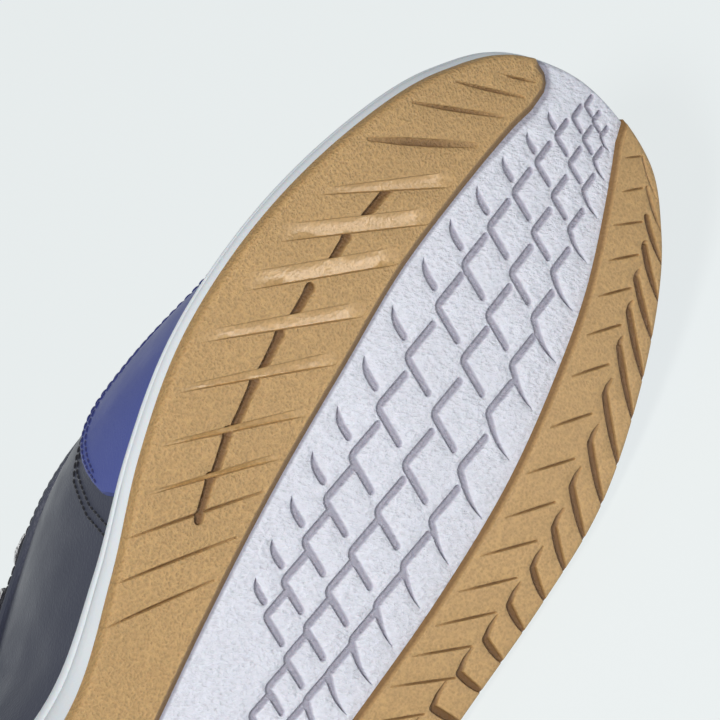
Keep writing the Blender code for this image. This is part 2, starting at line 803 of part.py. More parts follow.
def make_tongue(shoe):
    """A padded tongue under the throat, curved across like the instep."""
    outside = -(UPPER_WALL + 2 * CLEARANCE)
    inside = outside - TONGUE_THICKNESS
    shares = np.linspace(-1, 1, 9)
    sections = []
    for step in np.linspace(0, 1, TONGUE_STEPS):
        y = TONGUE_FRONT + (TONGUE_TOP - TONGUE_FRONT) * step
        middle = spine_point(y)[0]
        lean = TONGUE_LEAN * smooth_step((step - 0.3) / 0.7)
        half = 0.5 * TONGUE_WIDTH
        half *= TONGUE_FRONT_SHARE + (1 - TONGUE_FRONT_SHARE) * smooth_step(step / 0.5)
        half *= 1 - 0.12 * smooth_step((step - 0.9) / 0.1)
        places = [(middle + half * share, y - lean * share**2) for share in shares]
        top = [over_last(x, place, outside) for x, place in places]
        bottom = [over_last(x, place, inside) for x, place in reversed(places)]
        sections.append(top + bottom)
    return swept_solid("tongue", sections, shoe)


def eyelet_place(pair, side):
    """An eyelet's centre in plan, a set distance in from the throat's edge."""
    y = EYELET_FRONT + (EYELET_BACK - EYELET_FRONT) * pair / (EYELET_PAIRS - 1)
    middle = spine_point(y)[0]
    reach, place = fan_reach(middle + side * 0.02, y)
    distance = wall_profile(reach, ridge_height(y), place, wall_value("edge", y))[0]
    return middle + side * (distance + EYELET_INSET), y


def lace_run(start, end):
    """A flat lace from one eyelet to another, lying over the last's curve."""
    out = OVERLAY_CLEARANCE + OVERLAY_THICKNESS + LACE_LIFT
    start = np.array(start)
    end = np.array(end)
    ahead = (end - start) / np.linalg.norm(end - start)
    aside = np.array([-ahead[1], ahead[0]]) * 0.5 * LACE_WIDTH
    sections = []
    for point in split_path(start, end, LACE_PIECES):
        left = point + aside
        right = point - aside
        sections.append([
            over_last(left[0], left[1], out),
            over_last(right[0], right[1], out),
            over_last(right[0], right[1], out + LACE_THICKNESS),
            over_last(left[0], left[1], out + LACE_THICKNESS),
        ])
    return sections


def make_laces(shoe, cutters):
    """A straight first bar and crossings up to the top eyelets, joined in one."""
    runs = [(eyelet_place(0, -1), eyelet_place(0, 1))]
    for pair in range(EYELET_PAIRS - 1):
        for side in (-1, 1):
            runs.append((eyelet_place(pair, side), eyelet_place(pair + 1, -side)))
    pieces = [swept_solid(f"lace_run_{k}", lace_run(*run), cutters) for k, run in enumerate(runs)]
    laces = pieces[0]
    laces.name = "laces"
    cutters.objects.unlink(laces)
    shoe.objects.link(laces)
    for piece in pieces[1:]:
        piece.hide_render = True
        piece.display_type = "WIRE"
        join = laces.modifiers.new("Join " + piece.name, "BOOLEAN")
        join.operation = "UNION"
        join.solver = "EXACT"
        join.object = piece
    return laces


# Materials and weights

Finish = namedtuple("Finish", "colour roughness density")
FINISHES = {
    "outsole": Finish((0.55, 0.35, 0.15), 0.55, 1150),
    "outsole_centre": Finish((0.75, 0.76, 0.82), 0.60, 1150),
    "midsole": Finish((0.80, 0.82, 0.84), 0.60, 250),
    "insole": Finish((0.05, 0.06, 0.12), 0.90, 150),
    "upper": Finish((0.03, 0.035, 0.07), 0.55, 700),
    "toe_overlay": Finish((0.04, 0.06, 0.32), 0.75, 800),
    "heel_counter": Finish((0.03, 0.035, 0.07), 0.55, 800),
    "eyestay": Finish((0.03, 0.035, 0.07), 0.55, 800),
    "collar_padding": Finish((0.04, 0.06, 0.32), 0.90, 120),
    "tongue": Finish((0.04, 0.06, 0.32), 0.85, 200),
    "laces": Finish((0.85, 0.86, 0.88), 0.85, 500),
}


def add_materials(shoe):
    for part in shoe.objects:
        finish = FINISHES[part.name]
        material = bpy.data.materials.new(part.name)
        material.use_nodes = True
        shader = material.node_tree.nodes["Principled BSDF"]
        shader.inputs["Base Color"].default_value = (*finish.colour, 1)
        shader.inputs["Roughness"].default_value = finish.roughness
        shader.inputs["Metallic"].default_value = 0.0
        part.data.materials.append(material)


# Laying the shoe on its side


def volume_and_centre(mesh):
    mesh.calc_loop_triangles()
    volume = 0.0
    centre = Vector((0, 0, 0))
    for triangle in mesh.loop_triangles:
        a, b, c = (mesh.vertices[k].co for k in triangle.vertices)
        part = a.dot(b.cross(c)) / 6
        volume += part
        centre += part * (a + b + c) / 4
    return volume, centre / volume


def balance_point(shoe):
    weight = 0.0
    centre = Vector((0, 0, 0))
    for part in shoe.objects:
        volume, middle = volume_and_centre(part.data)
        share = volume * FINISHES[part.name].density
        weight += share
        centre += middle * share
    return centre / weight


def resting_normal(shoe, balance):
    """Outward normal of the plane that the shoe rests on when laid on its lateral side."""
    hull = bmesh.new()
    for part in shoe.objects:
        for vertex in part.data.vertices:
            hull.verts.new(vertex.co)
    bmesh.ops.convex_hull(hull, input=hull.verts)
    lateral = Vector((-1, 0, 0))
    chosen = None
    for face in hull.faces:
        normal = face.normal.copy()
        corners = [vertex.co for vertex in face.verts]
        if normal.dot(balance - corners[0]) > 0:
            normal.negate()
        if normal.dot(lateral) < 0.5:
            continue
        inside = all(
            (after - corner).cross(balance - corner).dot(face.normal) >= 0
            for corner, after in zip(corners, corners[1:] + corners[:1])
        )
        if inside:
            chosen = normal
    hull.free()
    return chosen


def lay_down(shoe):
    down = resting_normal(shoe, balance_point(shoe))
    up = -down
    ahead = Vector((0, 1, 0))
    ahead = (ahead - up * ahead.dot(up)).normalized()
    back = up.cross(ahead)
    turn = Matrix((ahead, back, up))
    points = np.array([turn @ vertex.co for part in shoe.objects for vertex in part.data.vertices])
    low = points.min(axis=0)
    high = points.max(axis=0)
    posture = bpy.data.objects.new("posture", None)
    bpy.context.scene.collection.objects.link(posture)
    posture.matrix_world = Matrix.Translation(
        (-0.5 * (low[0] + high[0]), -0.5 * (low[1] + high[1]), -low[2])
    ) @ turn.to_4x4()
    return posture


def main():
    for old in list(bpy.data.objects):
        bpy.data.objects.remove(old, do_unlink=True)
    shoe = new_collection("indoor_soccer_shoe")
    cutters = new_collection("cutters")
    make_outsole(shoe, cutters)
    make_outsole_centre(shoe)
    make_midsole(shoe)
    make_insole(shoe)
    make_upper(shoe)
    make_overlays(shoe)
    make_tongue(shoe)
    make_laces(shoe, cutters)
    add_materials(shoe)
    posture = lay_down(shoe)
    for collection in (shoe, cutters):
        for part in collection.objects:
            part.parent = posture


main()
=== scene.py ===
# Left indoor soccer shoe, lying on its lateral side on a pale floor and seen from below.
# Every piece is shaped in the shoe's own standing frame (x to the medial side, y to the
# toe, z up from the tread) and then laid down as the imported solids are. Metres.

import json
from collections import namedtuple
from math import cos, hypot, pi, radians, sin, sqrt, tan

import bmesh
import bpy
import numpy as np
from mathutils import Matrix, Vector
from mathutils.geometry import delaunay_2d_cdt


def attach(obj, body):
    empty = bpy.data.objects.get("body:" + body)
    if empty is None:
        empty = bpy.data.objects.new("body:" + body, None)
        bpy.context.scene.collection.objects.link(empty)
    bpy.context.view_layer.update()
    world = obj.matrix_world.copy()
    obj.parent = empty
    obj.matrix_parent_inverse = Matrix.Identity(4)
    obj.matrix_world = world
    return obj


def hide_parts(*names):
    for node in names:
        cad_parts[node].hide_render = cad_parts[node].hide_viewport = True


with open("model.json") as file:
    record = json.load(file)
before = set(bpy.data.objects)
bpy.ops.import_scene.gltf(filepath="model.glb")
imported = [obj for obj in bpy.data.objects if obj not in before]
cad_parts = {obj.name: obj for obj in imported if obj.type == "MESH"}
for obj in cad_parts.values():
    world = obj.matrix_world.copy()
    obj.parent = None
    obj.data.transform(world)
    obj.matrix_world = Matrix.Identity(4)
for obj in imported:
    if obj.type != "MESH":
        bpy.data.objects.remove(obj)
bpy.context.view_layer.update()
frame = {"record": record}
bpy.context.scene.view_settings.view_transform = "Standard"


# Gum outsole: one moulded rubber tread, wide along the medial side, narrow along the
# lateral side and whole round the heel. Its ramps, steps and slits are moulded in, and
# it is cemented under the foam with the white insert between its two sides.

# How the shoe lies: its tread faces sideways, and the medial side is uppermost
HEEL_TREAD_PLACE = (0.024, 0.046)
rest_faces = {mount["name"]: mount for mount in frame["record"]["mounts"]}
sole_up = -Vector(rest_faces["heel_tread"]["axis"]).normalized()
toe_way = Vector((-sole_up.z, 0, sole_up.x)).normalized()
medial_way = toe_way.cross(sole_up)
tread_origin = (
    Vector(rest_faces["heel_tread"]["pos_m"])
    - medial_way * HEEL_TREAD_PLACE[0]
    - toe_way * HEEL_TREAD_PLACE[1]
)
shoe_axes = Matrix((medial_way, toe_way, sole_up)).transposed()
LYING = Matrix.Translation(tread_origin) @ shoe_axes.to_4x4()
LYING_TURN = np.array(LYING)[:3, :3]
LYING_SHIFT = np.array(LYING)[:3, 3]

SOLE_LENGTH = 0.288
BALL_WIDTH = 0.106
HEEL_WIDTH = 0.070
TOE_SPRING = 0.010
SPRING_START = 0.196
HEEL_LIFT = 0.0025
HEEL_LIFT_REACH = 0.024
ARCH_LIFT = 0.0015
ARCH_MIDDLE = 0.36
ARCH_REACH = 0.16
WIDENING_START = 0.25
WIDENING_END = 0.65
OUTSOLE_THICKNESS = 0.0036
EDGE_ROUND = 0.0012
CENTRE_DROP = 0.0018
CENTRE_WALL_SLOPE = 0.0010
BAND_HEEL_END = 0.050
CENTRE_TOE_END = 0.975

Outline = namedtuple("Outline", "along medial lateral")
SOLE_OUTLINE = (
    Outline(0.024, 0.52, 0.61),
    Outline(0.069, 0.83, 0.92),
    Outline(0.139, 0.95, 1.04),
    Outline(0.229, 0.87, 1.06),
    Outline(0.312, 0.78, 1.12),
    Outline(0.396, 0.685, 1.12),
    Outline(0.479, 0.755, 1.055),
    Outline(0.562, 0.85, 1.01),
    Outline(0.646, 0.91, 1.02),
    Outline(0.729, 0.90, 1.04),
    Outline(0.812, 0.80, 0.97),
    Outline(0.896, 0.61, 0.84),
    Outline(0.938, 0.46, 0.73),
    Outline(0.979, 0.235, 0.545),
)
HEEL_TIP_SHARE = -0.04
TOE_TIP_SHARE = -0.14

# The white centre's edges, as shares of half the ball width from the centre line
CENTRE_EDGES = (
    Outline(0.17, 0.08, 0.30),
    Outline(0.30, 0.13, 0.38),
    Outline(0.40, 0.178, 0.48),
    Outline(0.50, 0.237, 0.54),
    Outline(0.60, 0.266, 0.60),
    Outline(0.70, 0.266, 0.62),
    Outline(0.79, 0.250, 0.585),
    Outline(0.86, 0.185, 0.535),
    Outline(0.93, 0.093, 0.44),
    Outline(0.970, 0.025, 0.375),
    Outline(0.992, 0.025, 0.335),
)


def smooth_step(share):
    share = np.clip(share, 0.0, 1.0)
    return share * share * (3 - 2 * share)


def curve_through(knots, values, at):
    """A smooth curve through a table's rows, held level beyond its ends."""
    knots = np.asarray(knots, float)
    values = np.asarray(values, float)
    at = np.clip(np.asarray(at, float), knots[0], knots[-1])
    slopes = np.gradient(values, knots, axis=0)
    index = np.clip(np.searchsorted(knots, at, side="right") - 1, 0, len(knots) - 2)
    step = knots[index + 1] - knots[index]
    share = (at - knots[index]) / step
    if values.ndim > 1:
        share = share[..., None]
        step = step[..., None]
    square = share * share
    cube = square * share
    return (
        (2 * cube - 3 * square + 1) * values[index]
        + (cube - 2 * square + share) * step * slopes[index]
        + (3 * square - 2 * cube) * values[index + 1]
        + (cube - square) * step * slopes[index + 1]
    )


def table_curve(table, field, at):
    values = [getattr(row, field) for row in table]
    return curve_through([row.along for row in table], values, at)


def half_width(along):
    blend = smooth_step((along - WIDENING_START) / (WIDENING_END - WIDENING_START))
    return 0.5 * (HEEL_WIDTH + (BALL_WIDTH - HEEL_WIDTH) * blend)


def outline_loop(samples):
    """The sole's outline: heel tip, medial side, toe tip, lateral side."""
    corners = [(HEEL_TIP_SHARE * half_width(0), 0.0)]
    for row in SOLE_OUTLINE:
        corners.append((row.medial * half_width(row.along), row.along * SOLE_LENGTH))
    corners.append((TOE_TIP_SHARE * half_width(1), SOLE_LENGTH))
    for row in reversed(SOLE_OUTLINE):
        corners.append((-row.lateral * half_width(row.along), row.along * SOLE_LENGTH))
    count = len(corners)
    corners = np.array(corners * 3)
    lengths = np.hypot(*np.diff(corners, axis=0).T)
    knots = np.concatenate([[0], np.cumsum(np.sqrt(lengths))])
    at = np.linspace(knots[count], knots[2 * count], 4 * samples, endpoint=False)
    fine = curve_through(knots, corners, at)
    steps = np.hypot(*(np.roll(fine, -1, axis=0) - fine).T)
    walked = np.concatenate([[0], np.cumsum(steps)])
    even = np.linspace(0, walked[-1], samples, endpoint=False)
    closed = np.vstack([fine, fine[:1]])
    return np.stack([np.interp(even, walked, closed[:, k]) for k in (0, 1)], axis=1)


OUTLINE = outline_loop(900)


def tread_height(y):
    """Height of the flat tread: toe spring, heel lift and arch."""
    toe = np.maximum(0.0, (y - SPRING_START) / (SOLE_LENGTH - SPRING_START))
    heel = np.maximum(0.0, 1 - y / HEEL_LIFT_REACH)
    arch = np.maximum(0.0, 1 - ((y / SOLE_LENGTH - ARCH_MIDDLE) / ARCH_REACH) ** 2)
    return TOE_SPRING * toe**2 + HEEL_LIFT * heel**2 + ARCH_LIFT * arch**2


def centre_edge(side, count=140):
    """The white centre's edge on one side, from its round heel end to the toe."""
    half = 0.5 * BALL_WIDTH
    length = CENTRE_TOE_END * SOLE_LENGTH - BAND_HEEL_END
    places = BAND_HEEL_END + length * np.linspace(0, 1, count) ** 1.3
    medial = table_curve(CENTRE_EDGES, "medial", places / SOLE_LENGTH)
    lateral = table_curve(CENTRE_EDGES, "lateral", places / SOLE_LENGTH)
    middle = 0.5 * (medial - lateral) * half
    width = 0.5 * (medial + lateral) * half
    behind = np.clip(1 - (places - BAND_HEEL_END) / (0.5 * HEEL_WIDTH), 0, 1)
    return np.stack([middle + side * width * np.sqrt(1 - behind**2), places], axis=1)


def outline_between(start, end):
    """The outline's points from nearest one place to nearest another, going forward."""
    first = int(np.argmin(np.hypot(*(OUTLINE - start).T)))
    last = int(np.argmin(np.hypot(*(OUTLINE - end).T)))
    if last < first:
        last += len(OUTLINE)
    return OUTLINE[np.arange(first, last + 1) % len(OUTLINE)]


MEDIAL_TIP = np.array([(0.0017, 0.2795), (0.0022, 0.2817), (0.0036, 0.2834), (0.0056, 0.2841)])
MEDIAL_TIP_OUTER = (0.0072, 0.2846)
LATERAL_TIP_OUTER = (-0.0192, 0.2875)
MEDIAL_CENTRE_EDGE = np.vstack([centre_edge(1)[:-3], MEDIAL_TIP])
LATERAL_CENTRE_EDGE = np.vstack([centre_edge(-1), [(-0.0189, 0.2845), (-0.0188, 0.2858)]])


def inside_polygon(points, polygon):
    """Even-odd test of many points against one closed polygon."""
    inside = np.zeros(len(points), bool)
    after = np.roll(polygon, -1, axis=0)
    for (x0, y0), (x1, y1) in zip(polygon, after):
        if y0 == y1:
            continue
        crosses = (y0 > points[:, 1]) != (y1 > points[:, 1])
        reach = x0 + (points[:, 1] - y0) / (y1 - y0) * (x1 - x0)
        inside ^= crosses & (points[:, 0] < reach)
    return inside


def distance_to_path(points, path):
    """Distance of many points to a path, the share along it, and the offset to its left."""
    best = np.full(len(points), 1e9)
    share = np.zeros(len(points))
    aside = np.zeros(len(points))
    pieces = len(path) - 1
    for k in range(pieces):
        start = path[k]
        along = path[k + 1] - start
        square = max(float(along @ along), 1e-18)
        t = np.clip((points - start) @ along / square, 0, 1)
        away = points - start
        gap = np.hypot(*(away - t[:, None] * along).T)
        nearer = gap < best
        best = np.where(nearer, gap, best)
        share = np.where(nearer, (k + t) / pieces, share)
        left = (along[0] * away[:, 1] - along[1] * away[:, 0]) / sqrt(square)
        aside = np.where(nearer, left, aside)
    return best, share, aside


# A moulded cut: its path, half widths and depths along it, how polished its floor is, and
# how much the floor rises to one side
Stroke = namedtuple("Stroke", "path half depths polish tilt")
# The cut's wall, as distances outside its edge and shares of its depth there
WALL_STEPS = ((0.00016, 0.0), (0.0, 0.12), (-0.00012, 0.62), (-0.00028, 1.0))
THINNEST_RING = 0.00004
POLISH_FROM = 0.0002
MM = 0.001


def part_way(values, share):
    """What an even row of values gives at a share of its length."""
    return np.interp(share, np.linspace(0, 1, len(values)), values)


def stroke_ring(stroke, offset):
    """A closed outline round a stroke, a set distance outside its edge."""
    path = stroke.path
    ahead = np.gradient(path, axis=0)
    ahead /= np.linalg.norm(ahead, axis=1)[:, None]
    aside = np.stack([-ahead[:, 1], ahead[:, 0]], axis=1)
    half = part_way(stroke.half, np.linspace(0, 1, len(path)))
    reach = np.maximum(half + offset, THINNEST_RING)
    left = path + aside * reach[:, None]
    right = path - aside * reach[:, None]
    turn = np.linspace(0, pi, 6)[1:-1, None]
    caps = [
        path[end] + size * (np.cos(turn) * aside[end] * way + np.sin(turn) * ahead[end] * way)
        for end, way, size in ((-1, 1, reach[-1]), (0, -1, reach[0]))
    ]
    return np.vstack([left, caps[0], right[::-1], caps[1]])


def carve(points, strokes):
    """How deep the strokes cut at each point, and how polished the floor is there."""
    depth = np.zeros(len(points))
    polish = np.zeros(len(points))
    offsets = [step[0] for step in reversed(WALL_STEPS)]
    shares = [step[1] for step in reversed(WALL_STEPS)]
    for stroke in strokes:
        margin = max(stroke.half) + MM
        low = stroke.path.min(axis=0) - margin
        high = stroke.path.max(axis=0) + margin
        near = np.nonzero(np.all((points > low) & (points < high), axis=1))[0]
        if not len(near):
            continue
        gap, share, aside = distance_to_path(points[near], stroke.path)
        half = part_way(stroke.half, share)
        floor = part_way(stroke.depths, share)
        across = 0.5 - 0.5 * np.clip(aside / half, -1, 1)
        floor *= 1 - stroke.tilt * np.clip((across - 0.3) / 0.7, 0, 1)
        cut = np.interp(gap - half, offsets, shares)
        depth[near] = np.maximum(depth[near], floor * cut)
        smooth = stroke.polish * (cut > 0.5) * np.clip(floor / POLISH_FROM, 0, 1)
        polish[near] = np.maximum(polish[near], smooth)
    return depth, polish


def lay_down(points):
    return np.asarray(points) @ LYING_TURN.T + LYING_SHIFT


def mesh_piece(name, mesh_builder, sharp=0.7):
    """Lays a standing mesh down, keeps its standing place for the finish, and shades it."""
    bmesh.ops.recalc_face_normals(mesh_builder, faces=mesh_builder.faces)
    mesh = bpy.data.meshes.new(name)
    mesh_builder.to_mesh(mesh)
    mesh_builder.free()
    flat = np.empty(len(mesh.vertices) * 3)
    mesh.vertices.foreach_get("co", flat)
    place = mesh.attributes.new("place", "FLOAT_VECTOR", "POINT")
    place.data.foreach_set("vector", flat)
    mesh.vertices.foreach_set("co", lay_down(flat.reshape(-1, 3)).ravel())
    mesh.shade_smooth()
    mesh.set_sharp_from_angle(angle=sharp)
    piece = bpy.data.objects.new(name, mesh)
    bpy.context.scene.collection.objects.link(piece)
    return piece


def loop_inset(loop, inset):
    """A closed loop moved towards its inside by a set distance."""
    after = np.roll(loop, -1, axis=0)
    ahead = after - np.roll(loop, 1, axis=0)
    ahead /= np.maximum(np.linalg.norm(ahead, axis=1), 1e-9)[:, None]
    area = np.sum(loop[:, 0] * after[:, 1] - loop[:, 1] * after[:, 0])
    return loop + np.stack([-ahead[:, 1], ahead[:, 0]], axis=1) * inset * np.sign(area)


def back_height(y):
    """Height of the outsole's back, where the foam is cemented on."""
    return tread_height(y) + OUTSOLE_THICKNESS


def add_faces(mesh_builder, triples):
    """One face for each three vertices, leaving out what is there already."""
    for triple in triples:
        try:
            mesh_builder.faces.new(triple)
        except ValueError:
            continue


# The face's grid of points: its pitch, and how clear it stays of cuts and borders
GRID_PITCH = 0.0030
ROW_PITCH = 0.87 * GRID_PITCH
CUT_GAP = 0.0006
BORDER_GAP = 0.0008
MIDDLE_LINE_FROM = 0.0006
MERGE_REACH = 1e-6


def tread_panel(name, loop, insets, strokes, surface):
    """A moulded rubber panel: its face carved by strokes, its sides and back closed."""
    points = []
    edges = []

    def add_line(line, closed=True):
        base = len(points)
        count = len(line)
        points.extend(map(tuple, line))
        steps = range(count if closed else count - 1)
        edges.extend((base + k, base + (k + 1) % count) for k in steps)

    borders = [loop] + [loop_inset(loop, inset) for inset in insets]
    for border in borders:
        add_line(border)
    for stroke in strokes:
        for offset, _ in WALL_STEPS:
            add_line(stroke_ring(stroke, offset))
        if max(stroke.half) > MIDDLE_LINE_FROM:
            add_line(stroke.path, False)
    low = np.min(loop, axis=0)
    high = np.max(loop, axis=0)
    grid = []
    for k, y in enumerate(np.arange(low[1], high[1], ROW_PITCH)):
        columns = np.arange(low[0] + (k % 2) * GRID_PITCH / 2, high[0], GRID_PITCH)
        grid.extend((x, y) for x in columns)
    grid = np.array(grid)
    widened = [stroke._replace(half=np.array(stroke.half) + CUT_GAP) for stroke in strokes]
    grid = grid[(carve(grid, widened)[0] <= 0) & inside_polygon(grid, loop)]
    border_points = np.vstack(borders)
    far = [np.min(np.hypot(*(border_points - place).T)) > BORDER_GAP for place in grid]
    points.extend(map(tuple, grid[np.array(far)]))
    places = [Vector(point) for point in points]
    flat, _, triangles, *_ = delaunay_2d_cdt(places, edges, [], 0, MERGE_REACH)
    flat = np.array([tuple(point) for point in flat])
    triangles = np.array([triangle for triangle in triangles if len(triangle) == 3])
    triangles = triangles[inside_polygon(flat[triangles].mean(axis=1), loop)]
    # Each point keeps its height, its polish and its painted shade for the finish
    height, polish, shade = surface(flat)
    mesh_builder = bmesh.new()
    polish_layer = mesh_builder.verts.layers.float.new("polish")
    shade_layer = mesh_builder.verts.layers.float.new("shade")
    verts = {}
    for k in np.unique(triangles):
        verts[k] = mesh_builder.verts.new((*flat[k], height[k]))
        verts[k][polish_layer] = float(polish[k])
        verts[k][shade_layer] = float(shade[k])
    add_faces(mesh_builder, [[verts[k] for k in triangle] for triangle in triangles])

    rim = [edge for edge in mesh_builder.edges if edge.is_boundary]
    raised = bmesh.ops.extrude_edge_only(mesh_builder, edges=rim)["geom"]
    lifted = [part for part in raised if isinstance(part, bmesh.types.BMVert)]
    for vert in lifted:
        vert.co.z = float(back_height(vert.co.y))
    order = {vert: k for k, vert in enumerate(lifted)}
    outline = [
        (order[part.verts[0]], order[part.verts[1]])
        for part in raised
        if isinstance(part, bmesh.types.BMEdge) and all(v in order for v in part.verts)
    ]
    places = [vert.co.xy for vert in lifted]
    _, _, backs, origins, *_ = delaunay_2d_cdt(places, outline, [], 1, MERGE_REACH)
    backs = [triangle for triangle in backs if all(origins[k] for k in triangle)]
    add_faces(mesh_builder, [[lifted[origins[k][0]] for k in back] for back in backs])
    return mesh_piece(name, mesh_builder)


gum_outer = outline_between(LATERAL_TIP_OUTER, MEDIAL_TIP_OUTER)
gum_loop = np.vstack([gum_outer, MEDIAL_CENTRE_EDGE[::-1], LATERAL_CENTRE_EDGE[1:]])


def edge_rise(points, path):
    """How far a moulded edge rounds up near the outline."""
    inset = np.clip(distance_to_path(points, path)[0], 0, EDGE_ROUND)
    return EDGE_ROUND - np.sqrt(np.maximum(EDGE_ROUND**2 - (EDGE_ROUND - inset) ** 2, 0))


# Ramps and slits of the medial side, each from its outer end to the white centre (mm)
Ramp = namedtuple("Ramp", "outer_x outer_y inner_x inner_y outer_wide inner_wide")
RAMPS = (
    Ramp(39.8, 228.6, 14.6, 248.4, 1.4, 3.4),
    Ramp(43.7, 215.7, 15.2, 238.8, 3.6, 3.6),
    Ramp(44.7, 203.2, 17.4, 227.4, 3.8, 3.8),
    Ramp(46.7, 188.6, 18.4, 213.6, 2.4, 3.4),
    Ramp(45.7, 176.3, 18.3, 201.6, 1.3, 2.9),
    Ramp(42.4, 165.2, 18.1, 188.6, 0.8, 2.0),
    Ramp(39.6, 155.3, 18.1, 177.8, 0.7, 1.5),
)
Slit = namedtuple("Slit", "outer_x outer_y inner_x inner_y wide")
MEDIAL_SLITS = (
    Slit(13.0, 276.4, 5.6, 279.6, 0.7),
    Slit(22.8, 267.9, 6.6, 275.0, 0.9),
    Slit(29.8, 257.8, 9.4, 268.1, 1.1),
    Slit(35.0, 245.0, 12.0, 259.0, 1.9),
    Slit(37.6, 146.2, 17.0, 170.0, 0.8),
    Slit(34.8, 137.0, 16.9, 159.2, 0.75),
    Slit(31.8, 128.2, 16.4, 149.2, 0.75),
    Slit(26.4, 83.8, 13.0, 102.4, 0.6),
    Slit(27.2, 71.6, 12.0, 90.6, 0.6),
    Slit(27.6, 59.2, 10.6, 78.8, 0.6),
    Slit(27.2, 46.8, 9.0, 66.6, 0.6),
    Slit(25.8, 34.6, 6.0, 54.0, 0.6),
    Slit(22.4, 22.6, 2.0, 42.4, 0.6),
    Slit(16.8, 12.0, -3.0, 31.4, 0.6),
)
Step = namedtuple("Step", "top_x top_y foot_x foot_y")
STEPS = (
    Step(26.9, 238.2, 28.1, 231.7),
    Step(30.0, 224.0, 30.2, 218.2),
    Step(31.6, 210.2, 31.6, 204.3),
    Step(32.3, 198.4, 31.7, 191.4),
    Step(31.8, 187.2, 30.8, 179.4),
    Step(31.1, 175.4, 29.4, 168.6),
    Step(29.3, 165.4, 27.4, 158.6),
)
# Bites of the lateral side: a short arm, a corner, and a long arm that runs to the edge
Bite = namedtuple("Bite", "x y up end_x end_y")
BITES = (
    Bite(-25.9, 281.6, 0.0, -33.2, 275.8),
    Bite(-29.8, 276.4, 0.0, -38.0, 269.9),
    Bite(-32.4, 270.7, 0.0, -40.6, 264.2),
    Bite(-34.9, 264.6, 1.6, -43.5, 256.8),
    Bite(-36.4, 257.4, 2.6, -46.9, 248.2),
    Bite(-38.2, 250.2, 2.8, -49.8, 239.0),
    Bite(-39.9, 242.2, 2.8, -52.3, 229.8),
    Bite(-42.0, 231.4, 4.4, -54.2, 219.5),
    Bite(-44.2, 220.6, 5.0, -55.3, 210.3),
    Bite(-45.2, 210.3, 5.2, -55.6, 201.6),
    Bite(-46.2, 200.6, 5.2, -54.8, 193.8),
    Bite(-46.4, 190.8, 5.6, -53.6, 186.4),
    Bite(-45.8, 181.2, 6.0, -52.8, 178.3),
    Bite(-44.8, 172.2, 6.4, -52.0, 170.3),
    Bite(-43.3, 162.9, 6.8, -51.0, 162.6),
    Bite(-41.8, 153.6, 6.8, -49.9, 154.4),
    Bite(-40.4, 144.0, 6.8, -49.0, 145.6),
    Bite(-39.0, 134.2, 6.6, -48.0, 136.4),
    Bite(-37.8, 124.2, 6.4, -47.4, 126.8),
    Bite(-36.6, 114.0, 6.2, -46.8, 117.0),
    Bite(-35.4, 103.6, 6.0, -45.8, 107.0),
    Bite(-34.2, 93.0, 5.8, -44.0, 96.8),
    Bite(-33.2, 82.4, 5.6, -42.0, 86.4),
    Bite(-32.2, 71.6, 5.4, -39.8, 76.0),
)
LATERAL_SLITS = (
    Slit(-25.8, 281.6, -22.5, 279.0, 0.5),
    Slit(-29.3, 275.7, -25.1, 271.9, 0.55),
    Slit(-32.6, 269.1, -26.6, 264.2, 0.6),
    Slit(-35.2, 262.3, -29.1, 256.8, 0.65),
    Slit(-36.9, 254.8, -30.8, 248.8, 0.7),
    Slit(-38.7, 246.6, -32.4, 240.0, 0.7),
    Slit(-40.3, 237.6, -33.7, 230.4, 0.7),
    Slit(-42.0, 226.2, -34.7, 218.1, 0.7),
    Slit(-43.4, 215.7, -35.1, 206.9, 0.7),
    Slit(-44.2, 205.3, -35.7, 196.2, 0.7),
    Slit(-44.9, 196.1, -34.9, 186.2, 0.7),
    Slit(-45.0, 186.9, -34.6, 177.2, 0.7),
    Slit(-44.7, 178.2, -33.7, 168.3, 0.7),
    Slit(-43.6, 169.2, -32.6, 160.2, 0.7),
    Slit(-43.9, 161.6, -31.5, 152.1, 0.7),
    Slit(-41.6, 151.4, -30.4, 142.4, 0.65),
    Slit(-40.2, 141.8, -29.4, 133.0, 0.65),
    Slit(-38.8, 131.8, -28.4, 123.4, 0.65),
    Slit(-37.4, 121.6, -27.4, 113.6, 0.6),
    Slit(-36.2, 111.2, -26.4, 103.6, 0.6),
    Slit(-35.0, 100.6, -25.4, 93.4, 0.6),
    Slit(-33.8, 89.8, -24.4, 83.0, 0.6),
)
# The bites nearest the toe are narrower and shallower
TOE_BITES = (0.42, 0.55, 0.85, 1.0)
# Each kind's depth and half width, and their shares along the cut
RAMP_DEPTH = 0.0007
RAMP_DEPTHS = (0.0, 0.25, 0.7, 1, 1, 1, 1, 1, 0.9, 0.15)
SLIT_DEPTH = 0.0007
MEDIAL_SLIT_WIDTHS = (0.55, 1, 1, 0.8)
MEDIAL_SLIT_DEPTHS = (0.55, 1, 1, 0.5)
LATERAL_SLIT_WIDTHS = (0.8, 1, 0.9, 0.6)
LATERAL_SLIT_DEPTHS = (0.9, 1, 0.9, 0.4)
STEP_DEPTH = 0.0012
STEP_HALF = 0.00105
STEP_WIDTHS = (1.25, 1.0, 1.0, 1.0, 1.1)
STEP_OVERRUN = 0.14
BITE_DEPTH = 0.0011
BITE_HALF = 0.00102
BITE_WIDTHS = (0.95, 1.0, 0.85, 0.5)
BITE_DEPTHS = (1, 1, 1, 0.7)
SHORT_ARM_HALVES = (0.0003, 0.0006, 0.00085)
SHORT_ARM_DEPTHS = (0.0005, BITE_DEPTH)
# How far slits and bites bow, to the side and along the sole
SLIT_BOW = (0.0004, -0.0003)
BITE_BOW = (0.00035, -0.0002)


